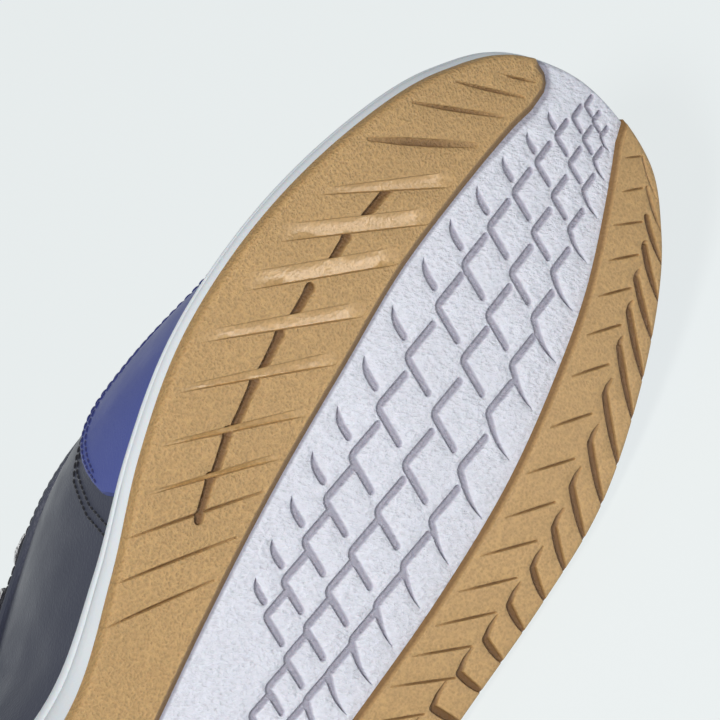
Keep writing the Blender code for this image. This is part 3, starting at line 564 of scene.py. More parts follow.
def straight(cut, count):
    """A straight path from a ramp's or slit's outer end to its inner end."""
    across = np.linspace(cut.outer_x, cut.inner_x, count)
    return np.stack([across, np.linspace(cut.outer_y, cut.inner_y, count)], axis=1) * MM


def line_between(start, end, count):
    return start + (end - start) * np.linspace(0, 1, count)[:, None]


def bow(count, aside):
    """How far a path of some points swells aside, most at its middle."""
    return np.sin(np.linspace(0, pi, count))[:, None] * np.array(aside)


gum_strokes = []
for ramp in RAMPS:
    halves = (0.5 * ramp.outer_wide * MM, 0.5 * ramp.inner_wide * MM)
    depths = np.array(RAMP_DEPTHS) * RAMP_DEPTH
    gum_strokes.append(Stroke(straight(ramp, 14), halves, depths, 1.0, 0.70))
for slit in MEDIAL_SLITS:
    path = straight(slit, 9) + bow(9, SLIT_BOW)
    halves = np.array(MEDIAL_SLIT_WIDTHS) * 0.5 * slit.wide * MM
    depths = np.array(MEDIAL_SLIT_DEPTHS) * SLIT_DEPTH
    gum_strokes.append(Stroke(path, halves, depths, 0.0, 0.3))
for step in STEPS:
    top = np.array((step.top_x, step.top_y)) * MM
    foot = np.array((step.foot_x, step.foot_y)) * MM
    over = (foot - top) * STEP_OVERRUN
    path = (top - over) + (foot - top + 2 * over) * np.linspace(0, 1, 9)[:, None]
    path -= np.array((STEP_HALF, 0.0))
    halves = np.array(STEP_WIDTHS) * STEP_HALF
    gum_strokes.append(Stroke(path, halves, (STEP_DEPTH, STEP_DEPTH), 0.0, 0.60))
for order, bite in enumerate(BITES):
    narrow = TOE_BITES[min(order, len(TOE_BITES) - 1)]
    aside = np.array((-BITE_HALF * narrow, 0.0))
    corner = np.array((bite.x, bite.y)) * MM + aside
    end = np.array((bite.end_x, bite.end_y)) * MM + aside
    path = line_between(corner, end, 9) + bow(9, BITE_BOW)
    halves = np.array(BITE_WIDTHS) * BITE_HALF * narrow
    depths = np.array(BITE_DEPTHS) * BITE_DEPTH * narrow
    gum_strokes.append(Stroke(path, halves, depths, 0.0, 0.35))
    if bite.up > 0:
        top = corner + np.array((0.0004, bite.up * MM * 0.9))
        path = line_between(corner, top, 5)
        path[1:4, 0] += np.array((0.00025, 0.00035, 0.0002))
        gum_strokes.append(Stroke(path[::-1], SHORT_ARM_HALVES, SHORT_ARM_DEPTHS, 0.0, 0.4))
for slit in LATERAL_SLITS:
    halves = np.array(LATERAL_SLIT_WIDTHS) * 0.5 * slit.wide * MM
    depths = np.array(LATERAL_SLIT_DEPTHS) * SLIT_DEPTH
    gum_strokes.append(Stroke(straight(slit, 7), halves, depths, 0.0, 0.0))

# The gum's inner walls slope down to the white, more steeply on the lateral side. Walls
# and cuts are painted darker than the face, a painted shade kept at each point for the finish.
MEDIAL_WALL_SLOPE = 0.0020
WALL_SHADE = 0.62
WALL_SHADE_GAIN = 3
CUT_SHADE_GAIN = 1.35
CUT_SHADE_POWER = 1.4
WALL_SLOPES = (
    (MEDIAL_CENTRE_EDGE, MEDIAL_WALL_SLOPE),
    (LATERAL_CENTRE_EDGE, CENTRE_WALL_SLOPE),
)


def gum_surface(flat):
    ramp_depth, polish = carve(flat, gum_strokes[: len(RAMPS)])
    depth, _ = carve(flat, gum_strokes[len(RAMPS) :])
    depth = np.where(polish > 0.5, ramp_depth, np.maximum(depth, ramp_depth))
    wall = np.zeros(len(flat))
    for path, slope in WALL_SLOPES:
        gap = distance_to_path(flat, path)[0]
        wall = np.maximum(wall, CENTRE_DROP * np.clip(1 - gap / slope, 0, 1))
    rise = edge_rise(flat, gum_outer)
    # Painted shade: darker the deeper a cut goes, and on the walls down to the white
    cut = np.clip(CUT_SHADE_GAIN * depth * (1 - polish) / STEP_DEPTH, 0, 1) ** CUT_SHADE_POWER
    painted_wall_shade = WALL_SHADE * np.clip(WALL_SHADE_GAIN * wall / CENTRE_DROP, 0, 1)
    shade = np.maximum(cut, painted_wall_shade)
    height = tread_height(flat[:, 1]) + np.maximum(np.maximum(depth, wall), rise)
    return height, polish, np.clip(shade, 0, 1)


gum_insets = (0.0002, 0.0005, 0.0010, 0.0015, 0.0020)
gum_outsole = tread_panel("gum_outsole", gum_loop, gum_insets, gum_strokes, gum_surface)


SUBSURFACE_SCALE = 0.002
# The colour sockets of a Mix node come after its plain and vector ones
FIRST_COLOUR = 6
MIXED_COLOUR = 2


class Finish:
    """A procedural material, built node by node from its base values."""

    def __init__(self, name, colour, roughness, sheen=0.0, coat=0.0, subsurface=0.0):
        self.material = bpy.data.materials.new(name)
        self.material.use_nodes = True
        self.nodes = self.material.node_tree.nodes
        self.links = self.material.node_tree.links
        self.shader = self.nodes["Principled BSDF"]
        self.set_values(
            self.shader,
            {
                "Base Color": (*colour, 1),
                "Roughness": roughness,
                "Sheen Weight": sheen,
                "Coat Weight": coat,
                "Subsurface Weight": subsurface,
                "Subsurface Scale": SUBSURFACE_SCALE,
            },
        )

    def add(self, kind, **values):
        node = self.nodes.new(kind)
        for key, value in values.items():
            setattr(node, key, value)
        return node

    def set_values(self, node, values):
        for socket, value in values.items():
            node.inputs[socket].default_value = value

    def place(self, size=(1, 1, 1), turn=0.0):
        """The standing place of the surface, turned and measured in a pattern's own size."""
        attribute = self.add("ShaderNodeAttribute", attribute_name="place")
        mapping = self.add("ShaderNodeMapping", vector_type="TEXTURE")
        self.set_values(mapping, {"Scale": size, "Rotation": (0, 0, turn)})
        self.links.new(attribute.outputs["Vector"], mapping.inputs["Vector"])
        return mapping.outputs["Vector"]

    def noise(self, scale, detail=3.0, rough=0.5, vector=None):
        node = self.add("ShaderNodeTexNoise")
        self.set_values(node, {"Scale": scale, "Detail": detail, "Roughness": rough})
        self.links.new(vector if vector is not None else self.place(), node.inputs["Vector"])
        return node.outputs["Fac"]

    def cells(self, scale, feature="SMOOTH_F1", vector=None):
        node = self.add("ShaderNodeTexVoronoi", feature=feature)
        node.inputs["Scale"].default_value = scale
        self.links.new(vector if vector is not None else self.place(), node.inputs["Vector"])
        return node.outputs["Distance"]

    def math(self, operation, first, second=0.0):
        node = self.add("ShaderNodeMath", operation=operation)
        for socket, value in zip(node.inputs, (first, second)):
            if isinstance(value, (int, float)):
                socket.default_value = value
            else:
                self.links.new(value, socket)
        return node.outputs[0]

    def span(self, value, low, high, to_low=0.0, to_high=1.0):
        """A value brought from one span to another, and held at its ends."""
        node = self.add("ShaderNodeMapRange")
        self.set_values(
            node, {"From Min": low, "From Max": high, "To Min": to_low, "To Max": to_high}
        )
        self.links.new(value, node.inputs["Value"])
        return node.outputs["Result"]

    def attribute(self, name):
        return self.add("ShaderNodeAttribute", attribute_name=name).outputs["Fac"]

    def blend_colour(self, factor, first, second):
        """A mix of two colours, each a plain one or another node's output."""
        node = self.add("ShaderNodeMix", data_type="RGBA")
        self.links.new(factor, node.inputs["Factor"])
        for socket, value in zip(node.inputs[FIRST_COLOUR : FIRST_COLOUR + 2], (first, second)):
            if isinstance(value, tuple):
                socket.default_value = (*value, 1)
            else:
                self.links.new(value, socket)
        return node.outputs[MIXED_COLOUR]

    def set_colour(self, output):
        self.links.new(output, self.shader.inputs["Base Color"])

    def set_roughness(self, output):
        self.links.new(output, self.shader.inputs["Roughness"])

    def bump(self, height, distance, strength=1.0):
        node = self.add("ShaderNodeBump")
        self.set_values(node, {"Distance": distance, "Strength": strength})
        self.links.new(height, node.inputs["Height"])
        self.links.new(node.outputs["Normal"], self.shader.inputs["Normal"])


def tinted(colour, factor):
    return tuple(min(1.0, channel * factor) for channel in colour)


GUM = (0.518, 0.318, 0.130)
GUM_PAINTED_SHADE = (0.135, 0.060, 0.013)
GUM_GRAINS = 2100.0
GUM_WORMS = 1500.0
GUM_GRAIN_HEIGHT = 0.00036
LATERAL_GRAIN = 0.42
RAMP_GRAIN = 0.22
GUM_MATTE = 0.62
GUM_POLISHED = 0.27
gum_finish = Finish("gum_rubber", GUM, 0.50, subsurface=0.05)
polish = gum_finish.attribute("polish")
grain = gum_finish.noise(GUM_GRAINS, 2.0, 0.55)
worm = gum_finish.cells(GUM_WORMS)
pebble = gum_finish.math("ADD", grain, gum_finish.math("MULTIPLY", worm, 0.9))
split_place = gum_finish.add("ShaderNodeSeparateXYZ")
gum_finish.links.new(gum_finish.place(), split_place.inputs["Vector"])
side_grain = gum_finish.span(split_place.outputs["X"], -0.022, -0.002, LATERAL_GRAIN, 1.0)
ramp_grain = gum_finish.span(polish, 0.0, 1.0, 1.0, RAMP_GRAIN)
fade = gum_finish.math("MULTIPLY", ramp_grain, side_grain)
gum_finish.bump(gum_finish.math("MULTIPLY", pebble, fade), GUM_GRAIN_HEIGHT, 0.85)
tone = gum_finish.span(gum_finish.noise(60.0, 4.0), 0.3, 0.7)
body = gum_finish.blend_colour(tone, tinted(GUM, 0.95), tinted(GUM, 1.05))
# The grain's pits are painted darker, a painted shade in the hollows of the bump
painted_pit_shade = gum_finish.span(pebble, 0.55, 1.15)
grained = gum_finish.blend_colour(painted_pit_shade, tinted(GUM, 0.72), body)
# The shade kept at each point blends in a painted shade, dark brown in the cuts and on the walls
shade = gum_finish.span(gum_finish.attribute("shade"), 0.03, 0.80, 0.0, 0.97)
gum_finish.set_colour(gum_finish.blend_colour(shade, grained, GUM_PAINTED_SHADE))
gum_finish.set_roughness(gum_finish.span(polish, 0.0, 1.0, GUM_MATTE, GUM_POLISHED))
gum_outsole.data.materials.append(gum_finish.material)
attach(gum_outsole, "root")
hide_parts("outsole")


# White insert: a softer white rubber sheet set lower between the two gum sides. It is
# moulded with rows of bent flex grooves and a fine cloth-like grain.

white_toe = outline_between(MEDIAL_TIP_OUTER, LATERAL_TIP_OUTER)
white_loop = np.vstack([white_toe, LATERAL_CENTRE_EDGE[::-1], MEDIAL_CENTRE_EDGE[1:]])

# Rows of the groove lattice: where the medial corner of each row lies, and its pitch (mm)
Row = namedtuple("Row", "x y pitch columns")
ROWS = (
    Row(-8.3, 283.6, 3.3, (0, 1, 2)),
    Row(-6.7, 279.3, 4.5, (0, 1, 2)),
    Row(-4.8, 273.2, 5.8, (-1, 0, 1, 2)),
    Row(-3.1, 265.3, 7.1, (-1, 0, 1, 2)),
    Row(-1.3, 256.4, 8.4, (-1, 0, 1, 2)),
    Row(0.3, 246.5, 9.6, (-1, 0, 1, 2)),
    Row(1.7, 236.1, 10.6, (-1, 0, 1, 2)),
    Row(2.7, 225.1, 11.3, (-1, 0, 1, 2)),
    Row(3.3, 212.1, 11.9, (-1, 0, 1, 2)),
    Row(3.4, 199.5, 12.0, (-1, 0, 1, 2)),
    Row(3.2, 187.6, 11.6, (-1, 0, 1, 2)),
    Row(3.3, 176.9, 11.2, (-1, 0, 1, 2)),
    Row(2.8, 167.1, 10.5, (-1, 0, 1, 2)),
    Row(2.3, 157.7, 9.8, (-1, 0, 1, 2)),
    Row(1.8, 149.6, 8.9, (-1, 0, 1, 2)),
    Row(1.2, 141.9, 8.1, (1, 2)),
    Row(0.4, 134.9, 7.3, (1, 2)),
    Row(-0.6, 128.6, 6.4, (2,)),
)
GROOVE_DEPTH = 0.0010
GROOVE_TILT = 0.12
GROOVE_HALF = 0.00098
GROOVE_SHIFT = 0.0008


# Where a groove's soft corner starts on its short arm and ends on its long one
CORNER_FROM = 0.86
CORNER_TO = 0.12
LONG_ARM = 1.26


def bent_path(top, corner, foot, curved):
    """Two arms and a soft corner; on the lateral side the long arm is curved and longer."""
    first = top + (corner - top) * np.linspace(0, CORNER_FROM, 5)[:, None]
    turn = np.linspace(0, 1, 5)[1:-1, None]
    near_top = top + (corner - top) * CORNER_FROM
    near_foot = corner + (foot - corner) * CORNER_TO
    soft = (1 - turn) ** 2 * near_top + 2 * turn * (1 - turn) * corner + turn**2 * near_foot
    share = np.linspace(CORNER_TO, LONG_ARM if curved else 1, 8)[:, None]
    arm = corner + (foot - corner) * share
    if curved:
        swell = np.sin((share - CORNER_TO) / (LONG_ARM - CORNER_TO) * pi)
        arm += swell * np.array((0.045, -0.080)) * hypot(*(foot - corner))
    return np.vstack([first, soft, arm])


centre_reach = {side: centre_edge(side) for side in (-1, 1)}


def within_centre(path, side, margin):
    """The part of a path that stays a margin inside the white centre's edge."""
    edge = centre_reach[side]
    limit = np.interp(path[:, 1], edge[:, 1], edge[:, 0]) - side * margin
    return path[path[:, 0] * side < limit * side]


# In each row, column -1 is a lone curl at the medial edge, and column 2 runs out to the
# lateral edge. The columns between them are V-shaped.
white_strokes = []
for row in ROWS:
    pitch = row.pitch * MM
    for column in row.columns:
        start = np.array((row.x * MM - GROOVE_SHIFT, row.y * MM))
        corner = start - np.array((column, column * 0.55)) * pitch
        top = corner + np.array((-0.155, 0.77)) * pitch
        shares = (1.0, 1.0, 1.0, 1.0, 0.95)
        if column == -1:
            top = start + np.array((0.72, 0.60)) * pitch
            foot = start + np.array((0.23, 0.27)) * pitch
            curl = line_between(top, foot, 9) + bow(9, (0.055, -0.035)) * pitch
            path = within_centre(curl, 1, 0.0018)
            shares = (0.15, 0.70, 0.95, 1.0, 1.0)
        elif column == 2:
            foot = corner + np.array((-0.82, -0.40)) * pitch
            path = within_centre(bent_path(top, corner, foot, True), -1, 0.0008)
            shares = (1.0, 1.0, 1.0, 0.95, 0.62, 0.12)
        else:
            foot = corner + np.array((-0.71, -0.30)) * pitch
            path = bent_path(top, corner, foot, False)
        halves = np.array(shares) * GROOVE_HALF * min(1.0, 0.52 + row.pitch / 20)
        if len(path) > 3:
            depths = (GROOVE_DEPTH, GROOVE_DEPTH)
            white_strokes.append(Stroke(path, halves, depths, 0.0, GROOVE_TILT))


# A painted shadow on the white along the gum's medial wall, a dark band wider towards the toe
SHADOW_BAND_WIDTH = 0.0004
SHADOW_BAND_TOE_WIDTH = 0.0008
SHADOW_BAND_WIDENS_FROM = 0.245
SHADOW_BAND_WIDENS_OVER = 0.030
SHADOW_BAND_FADE = 0.0006


def white_surface(flat):
    depth, polish = carve(flat, white_strokes)
    rise = edge_rise(flat, white_toe)
    lowered = tread_height(flat[:, 1]) + CENTRE_DROP * 0.98
    beside = distance_to_path(flat, MEDIAL_CENTRE_EDGE)[0]
    toe_share = smooth_step((flat[:, 1] - SHADOW_BAND_WIDENS_FROM) / SHADOW_BAND_WIDENS_OVER)
    painted_shadow_band = np.clip(1 - (beside - SHADOW_BAND_WIDTH - SHADOW_BAND_TOE_WIDTH * toe_share) / SHADOW_BAND_FADE, 0, 1)
    # Painted shade in the grooves, darker where they cut deeper
    painted_shade = np.clip(1.3 * depth / GROOVE_DEPTH, 0, 1) ** 1.5
    return lowered + np.maximum(depth, rise * 0.9), polish, np.maximum(painted_shade, painted_shadow_band)


white_insets = (0.0004, 0.0010, 0.0016)
white_insert = tread_panel(
    "white_insert", white_loop, white_insets, white_strokes, white_surface
)
WHITE = (0.720, 0.725, 0.810)
WHITE_PAINTED_SHADE = (0.320, 0.305, 0.375)
WEAVE_HEIGHT = 0.00045
white_finish = Finish("white_rubber", WHITE, 0.62, subsurface=0.04)
GRAIN_TURN = radians(150)
RIPPLE_SIZE = (0.00150, 0.00085, 0.0015)
FLECK_SIZE = (0.00085, 0.00050, 0.0009)
ripple = white_finish.cells(1.0, "SMOOTH_F1", white_finish.place(RIPPLE_SIZE, GRAIN_TURN))
fleck = white_finish.noise(1.0, 2.0, 0.6, white_finish.place(FLECK_SIZE, GRAIN_TURN))
weave = white_finish.math("ADD", fleck, white_finish.math("MULTIPLY", ripple, 0.9))
white_finish.bump(weave, WEAVE_HEIGHT, 0.90)
cloud = white_finish.span(white_finish.noise(40.0, 3.0), 0.3, 0.7)
land = white_finish.blend_colour(cloud, tinted(WHITE, 0.97), tinted(WHITE, 1.03))
# The weave's pits are painted darker, a painted shade in the hollows of the bump
weave_share = white_finish.span(weave, 0.5, 1.1)
land_with_pit_shade = white_finish.blend_colour(weave_share, tinted(WHITE, 0.88), land)
# The grooves and the band beside the gum take a painted shade and shadow from the shade kept at
# each point
painted_shade = white_finish.span(white_finish.attribute("shade"), 0.10, 1.0, 0.0, 0.90)
white_finish.set_colour(white_finish.blend_colour(painted_shade, land_with_pit_shade, WHITE_PAINTED_SHADE))
white_insert.data.materials.append(white_finish.material)
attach(white_insert, "root")
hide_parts("outsole_centre")


# Foam midsole: one white moulding between rubber and upper, thin under the toes and thick
# under the heel. A shallow step runs round its side, and its rim holds the upper's edge.

MIDSOLE_HEEL = 0.0160
MIDSOLE_OVERHANG = 0.0007
MIDSOLE_TUCK = 0.0006
RIM_HEIGHT = 0.0050
RIM_WIDTH = 0.0027
RIM_LEAN = 0.0009
SIDE_STEP_SHARE = 0.62
CLEARANCE = 0.0003
AROUND = 320

Foam = namedtuple("Foam", "along floor rim")
FOAM = (
    Foam(0.00, 1.00, 1.00),
    Foam(0.25, 0.92, 1.00),
    Foam(0.40, 0.44, 0.72),
    Foam(0.50, 0.27, 0.47),
    Foam(0.65, 0.20, 0.19),
    Foam(0.90, 0.20, 0.20),
    Foam(1.00, 0.20, 0.34),
)
RIM_POINTS = outline_loop(AROUND)
rim_ahead = np.roll(RIM_POINTS, -1, axis=0) - np.roll(RIM_POINTS, 1, axis=0)
rim_ahead /= np.linalg.norm(rim_ahead, axis=1)[:, None]
RIM_OUTWARD = np.stack([rim_ahead[:, 1], -rim_ahead[:, 0]], axis=1)


def midsole_top(y):
    floor = MIDSOLE_HEEL * table_curve(FOAM, "floor", y / SOLE_LENGTH)
    return back_height(y) + CLEARANCE + floor


def rim_top(y):
    return midsole_top(y) + RIM_HEIGHT * table_curve(FOAM, "rim", y / SOLE_LENGTH)


def foam_ring(out, share):
    points = RIM_POINTS + RIM_OUTWARD * out
    low = back_height(points[:, 1])
    return np.column_stack([points, low + (rim_top(points[:, 1]) - low) * share])


def join_rings(mesh_builder, rings, flat_ends=True, around=False):
    """Faces between rings of equal size, with flat ends or round to the first ring."""
    rows = [[mesh_builder.verts.new(point) for point in ring] for ring in rings]
    count = len(rows[0])
    for row, other in zip(rows, rows[1:] + rows[:1] if around else rows[1:]):
        for k in range(count):
            after = (k + 1) % count
            mesh_builder.faces.new((row[k], row[after], other[after], other[k]))
    if flat_ends:
        mesh_builder.faces.new(rows[0])
        mesh_builder.faces.new(rows[-1])
    return rows


def ring_solid(name, rings, sharp=0.7):
    """A solid of rings, closed at both ends by strips across them."""
    mesh_builder = bmesh.new()
    rows = join_rings(mesh_builder, rings, False)
    count = len(rows[0])
    for row in (rows[0], rows[-1]):
        for k in range(count // 2 - 1):
            across = (row[k], row[k + 1], row[count - 2 - k], row[count - 1 - k])
            mesh_builder.faces.new(across)
    return mesh_piece(name, mesh_builder, sharp)


def ring_piece(name, rings, sharp=1.2):
    """A long solid of rings with flat ends."""
    mesh_builder = bmesh.new()
    join_rings(mesh_builder, rings)
    return mesh_piece(name, mesh_builder, sharp)


def floor_ring(out):
    points = RIM_POINTS + RIM_OUTWARD * out
    return np.column_stack([points, midsole_top(points[:, 1])])


# The foam's section from under the tread's edge up the side wall and over the rim: how
# far each ring lies out from the outline, and its share of the wall's height
over = MIDSOLE_OVERHANG
FOAM_SECTION = (
    (-0.0040, 0.0),
    (-MIDSOLE_TUCK - 0.0003, 0.0),
    (-MIDSOLE_TUCK + 0.0004, 0.03),
    (over - 0.0007, 0.10),
    (over - 0.0002, 0.25),
    (over, 0.42),
    (over, SIDE_STEP_SHARE - 0.06),
    (over - 0.0002, SIDE_STEP_SHARE - 0.02),
    (over - 0.0006, SIDE_STEP_SHARE + 0.01),
    (over - 0.0002, SIDE_STEP_SHARE + 0.06),
    (over, SIDE_STEP_SHARE + 0.12),
    (over, 0.88),
    (over - 0.0003, 0.95),
    (over - 0.0009, 0.992),
    (over - 0.0015, 1.0),
    (over - RIM_WIDTH + RIM_LEAN + 0.0003, 0.99),
    (over - RIM_WIDTH + RIM_LEAN, 0.96),
)
foam_rings = [foam_ring(out, share) for out, share in FOAM_SECTION]
foam_rings += [floor_ring(over - RIM_WIDTH), floor_ring(over - RIM_WIDTH - 0.004)]
foam_midsole = ring_solid("foam_midsole", foam_rings)
FOAM_WHITE = (0.700, 0.740, 0.780)
FOAM_GRAINS = 1500.0
FOAM_GRAIN_HEIGHT = 0.00008
foam_finish = Finish("midsole_foam", FOAM_WHITE, 0.50, subsurface=0.10)
foam_finish.bump(foam_finish.noise(FOAM_GRAINS), FOAM_GRAIN_HEIGHT, 0.5)
foam_cloud = foam_finish.span(foam_finish.noise(35.0, 3.0), 0.3, 0.7)
foam_finish.set_colour(
    foam_finish.blend_colour(foam_cloud, tinted(FOAM_WHITE, 0.97), tinted(FOAM_WHITE, 1.03))
)
foam_midsole.data.materials.append(foam_finish.material)
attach(foam_midsole, "root")
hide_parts("midsole")


# Upper: navy leather lasted over the foot's form, turned in under the insole, with a
# textile lining inside. The vamp keeps soft flex creases behind the toe.

UPPER_WALL = 0.0020
LASTING_MARGIN = 0.013
FEATHER_INSET = 0.0023
INSTEP_HEIGHT = 0.060
ANKLE_HEIGHT = 0.104
HEEL_CENTRE = 0.040
THROAT_FRONT = 0.205
SPINE_SHIFT = 0.003

Ridge = namedtuple("Ridge", "along rise")
RIDGE = (
    Ridge(0.14, 1.05),
    Ridge(0.35, 0.95),
    Ridge(0.42, 0.82),
    Ridge(0.48, 0.68),
    Ridge(0.55, 0.50),
    Ridge(0.62, 0.28),
    Ridge(0.71, 0.00),
)
Wall = namedtuple("Wall", "along low top bulge edge")
WALLS = (
    Wall(0.00, 0.34, 0.86, 0.10, 0.49),
    Wall(0.14, 0.34, 0.72, 0.08, 0.44),
    Wall(0.25, 0.34, 0.64, 0.06, 0.395),
    Wall(0.31, 0.34, 0.62, 0.05, 0.415),
    Wall(0.36, 0.34, 0.60, 0.05, 0.49),
    Wall(0.41, 0.35, 0.60, 0.05, 0.62),
    Wall(0.46, 0.36, 0.68, 0.04, 0.71),
    Wall(0.52, 0.38, 0.78, 0.03, 0.77),
    Wall(0.58, 0.39, 0.76, 0.01, 0.79),
    Wall(0.64, 0.40, 0.68, -0.10, 0.81),
    Wall(0.72, 0.38, 0.64, -0.22, 0.83),
    Wall(0.85, 0.38, 0.64, -0.22, 0.86),
    Wall(1.00, 0.42, 0.64, -0.12, 0.88),
)
FEATHER = RIM_POINTS - RIM_OUTWARD * FEATHER_INSET
PLACE_AT = FEATHER[:, 1] / SOLE_LENGTH


def side_edge(side):
    """The outline on one side as x for each y, for the last's centre line."""
    points = OUTLINE[np.argsort(OUTLINE[:, 1])]
    middle = np.interp(points[:, 1], [0, SOLE_LENGTH], [-0.0014, -0.0074])
    chosen = points[(points[:, 0] - middle) * side > 0]
    return chosen[:, 1], chosen[:, 0]


MEDIAL_EDGE = side_edge(1)
LATERAL_EDGE = side_edge(-1)


def spine_x(y):
    middle = 0.5 * (np.interp(y, *MEDIAL_EDGE) + np.interp(y, *LATERAL_EDGE))
    lean = smooth_step((y - HEEL_CENTRE) / (THROAT_FRONT - HEEL_CENTRE))
    return middle + SPINE_SHIFT * lean


def ridge_height(y):
    rise = table_curve(RIDGE, "rise", y / SOLE_LENGTH)
    return INSTEP_HEIGHT + (ANKLE_HEIGHT - INSTEP_HEIGHT) * rise


SPINE_Y = np.clip(FEATHER[:, 1], HEEL_CENTRE, THROAT_FRONT)
SPINE = np.column_stack([spine_x(SPINE_Y), SPINE_Y])
REACH = np.linalg.norm(FEATHER - SPINE, axis=1)
FAN = (FEATHER - SPINE) / REACH[:, None]
RIDGE_AT = ridge_height(SPINE_Y)
LOW_AT, TOP_AT, BULGE_AT, EDGE_AT = (
    table_curve(WALLS, field, PLACE_AT) for field in ("low", "top", "bulge", "edge")
)
# The medial wall swells a little more beside the ball of the foot
BALL_SWELL = 0.030
BALL_AT = 0.70
BALL_REACH = 0.10
ball_share = np.exp(-(((PLACE_AT - BALL_AT) / BALL_REACH) ** 2))
BULGE_AT = BULGE_AT + np.where(FEATHER[:, 0] > SPINE[:, 0], BALL_SWELL * ball_share, 0.0)


def wall_distance(ups, reach, bulge, top):
    """How far the last's wall lies from its middle, at a share of the way up."""
    down = 1 - ups
    return reach * (down**3 + 3 * down**2 * ups * (1 + bulge) + 3 * down * ups**2 * top)


def wall_height(ups, ridge, low):
    """How high the last's wall is at a share of the way up."""
    down = 1 - ups
    return ridge * (3 * down**2 * ups * low + 3 * down * ups**2 + ups**3)


def last_point(columns, ups, out):
    """Points of the last: round the feather edge, up the wall, and out from it."""
    k = columns % AROUND
    distance = wall_distance(ups, REACH[k] + out, BULGE_AT[k], TOP_AT[k])
    height = wall_height(ups, RIDGE_AT[k] + out, LOW_AT[k])
    flat = SPINE[k] + FAN[k] * distance[:, None]
    return np.column_stack([flat, midsole_top(flat[:, 1]) + CLEARANCE + height])


# Creases: soft troughs across the vamp, by place along the sole, reach and depth
Crease = namedtuple("Crease", "y lean wide depth low high")
CREASES = (
    Crease(0.226, 0.10, 0.0035, 0.0007, 0.25, 0.90),
    Crease(0.216, -0.14, 0.0030, 0.0008, 0.20, 0.80),
    Crease(0.204, 0.08, 0.0034, 0.0006, 0.18, 0.66),
    Crease(0.110, 0.25, 0.0050, 0.0007, 0.12, 0.45),
)


def crease_depth(points, ups):
    depth = np.zeros(len(points))
    for crease in CREASES:
        line = crease.y + crease.lean * np.abs(points[:, 0] - spine_x(points[:, 1]))
        shape = np.exp(-(((points[:, 1] - line) / crease.wide) ** 2))
        side = smooth_step((ups - crease.low) / 0.12) * smooth_step((crease.high - ups) / 0.12)
        depth += crease.depth * shape * side
    return depth


OUTER_ROWS = 30
INNER_ROWS = 14
WALL_FOOT = 0.02
LINING_START = 0.055
columns = np.arange(AROUND)


def turned_in(inset, lift):
    """A ring of the margin that is turned in under the sock liner."""
    points = FEATHER - RIM_OUTWARD * inset
    return np.column_stack([points, midsole_top(points[:, 1]) + CLEARANCE + lift])


rings = [turned_in(inset, 0.0) for inset in (LASTING_MARGIN, 0.0060, 0.0022)]
for share in np.linspace(0, 1, OUTER_ROWS):
    ups = WALL_FOOT + (EDGE_AT - WALL_FOOT) * share
    base = last_point(columns, ups, 0.0)
    out = -crease_depth(base, ups) - 0.0005 * (share > 0.99)
    rings.append(last_point(columns, ups, out))
for out in (-0.0008, -0.0014):
    rings.append(last_point(columns, EDGE_AT * 1.004, out))
lining_from = len(rings) - 1
for share in np.linspace(0, 1, INNER_ROWS):
    ups = EDGE_AT + (LINING_START - EDGE_AT) * share
    rings.append(last_point(columns, ups, -UPPER_WALL))
rings += [turned_in(inset, UPPER_WALL) for inset in (0.0034, LASTING_MARGIN)]
upper_builder = bmesh.new()
join_rings(upper_builder, rings, False, True)
for order, face in enumerate(upper_builder.faces):
    face.material_index = int(order // AROUND >= lining_from)
leather_upper = mesh_piece("leather_upper", upper_builder)


LEATHER_GRAINS = 1300.0
LEATHER_GRAIN_HEIGHT = 0.00012


def leather_finish(name, colour, light, roughness, grains=LEATHER_GRAINS):
    finish = Finish(name, colour, roughness, coat=0.06)
    cells = finish.cells(grains, "F1")
    fine = finish.math("MULTIPLY", finish.noise(grains * 1.6, 4.0, 0.6), 0.6)
    finish.bump(finish.math("ADD", cells, fine), LEATHER_GRAIN_HEIGHT, 0.55)
    patch = finish.span(finish.noise(28.0, 4.0), 0.3, 0.72)
    finish.set_colour(finish.blend_colour(patch, colour, light))
    wear = finish.noise(90.0, 3.0)
    finish.set_roughness(finish.span(wear, 0.3, 0.7, roughness - 0.05, roughness + 0.07))
    return finish


# A wave texture's scale for one band to a metre
WAVE_BAND = 0.314
KNIT_PITCH = 0.0009
KNIT_HEIGHT = 0.0002


def cloth_finish(name, colour, light, pitch=KNIT_PITCH):
    finish = Finish(name, colour, 0.88, sheen=0.25)
    across = finish.add("ShaderNodeTexWave", bands_direction="X")
    along = finish.add("ShaderNodeTexWave", bands_direction="Y")
    for wave in (across, along):
        values = {"Scale": WAVE_BAND / pitch, "Distortion": 0.6, "Detail Scale": 40.0}
        finish.set_values(wave, values)
        finish.links.new(finish.place(), wave.inputs["Vector"])
    knit = finish.math("MULTIPLY", across.outputs["Fac"], along.outputs["Fac"])
    finish.bump(knit, KNIT_HEIGHT, 0.8)
    # The knit's raised loops take the lighter colour and its hollows the darker, a painted light
    # and shade
    finish.set_colour(finish.blend_colour(finish.span(knit, 0.0, 0.8), colour, light))
    return finish


NAVY = (0.050, 0.056, 0.085)
NAVY_LIGHT = (0.062, 0.068, 0.100)
LINING = (0.020, 0.024, 0.050)
LINING_LIGHT = (0.050, 0.058, 0.105)
navy = leather_finish("navy_leather", NAVY, NAVY_LIGHT, 0.42)
lining = cloth_finish("lining_fabric", LINING, LINING_LIGHT)
leather_upper.data.materials.append(navy.material)
leather_upper.data.materials.append(lining.material)
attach(leather_upper, "root")
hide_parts("upper")


# Blue toe panel: a smooth synthetic overlay cemented round the toe box, with rolled
# edges and two rows of darker thread just inside its upper and rear edge.

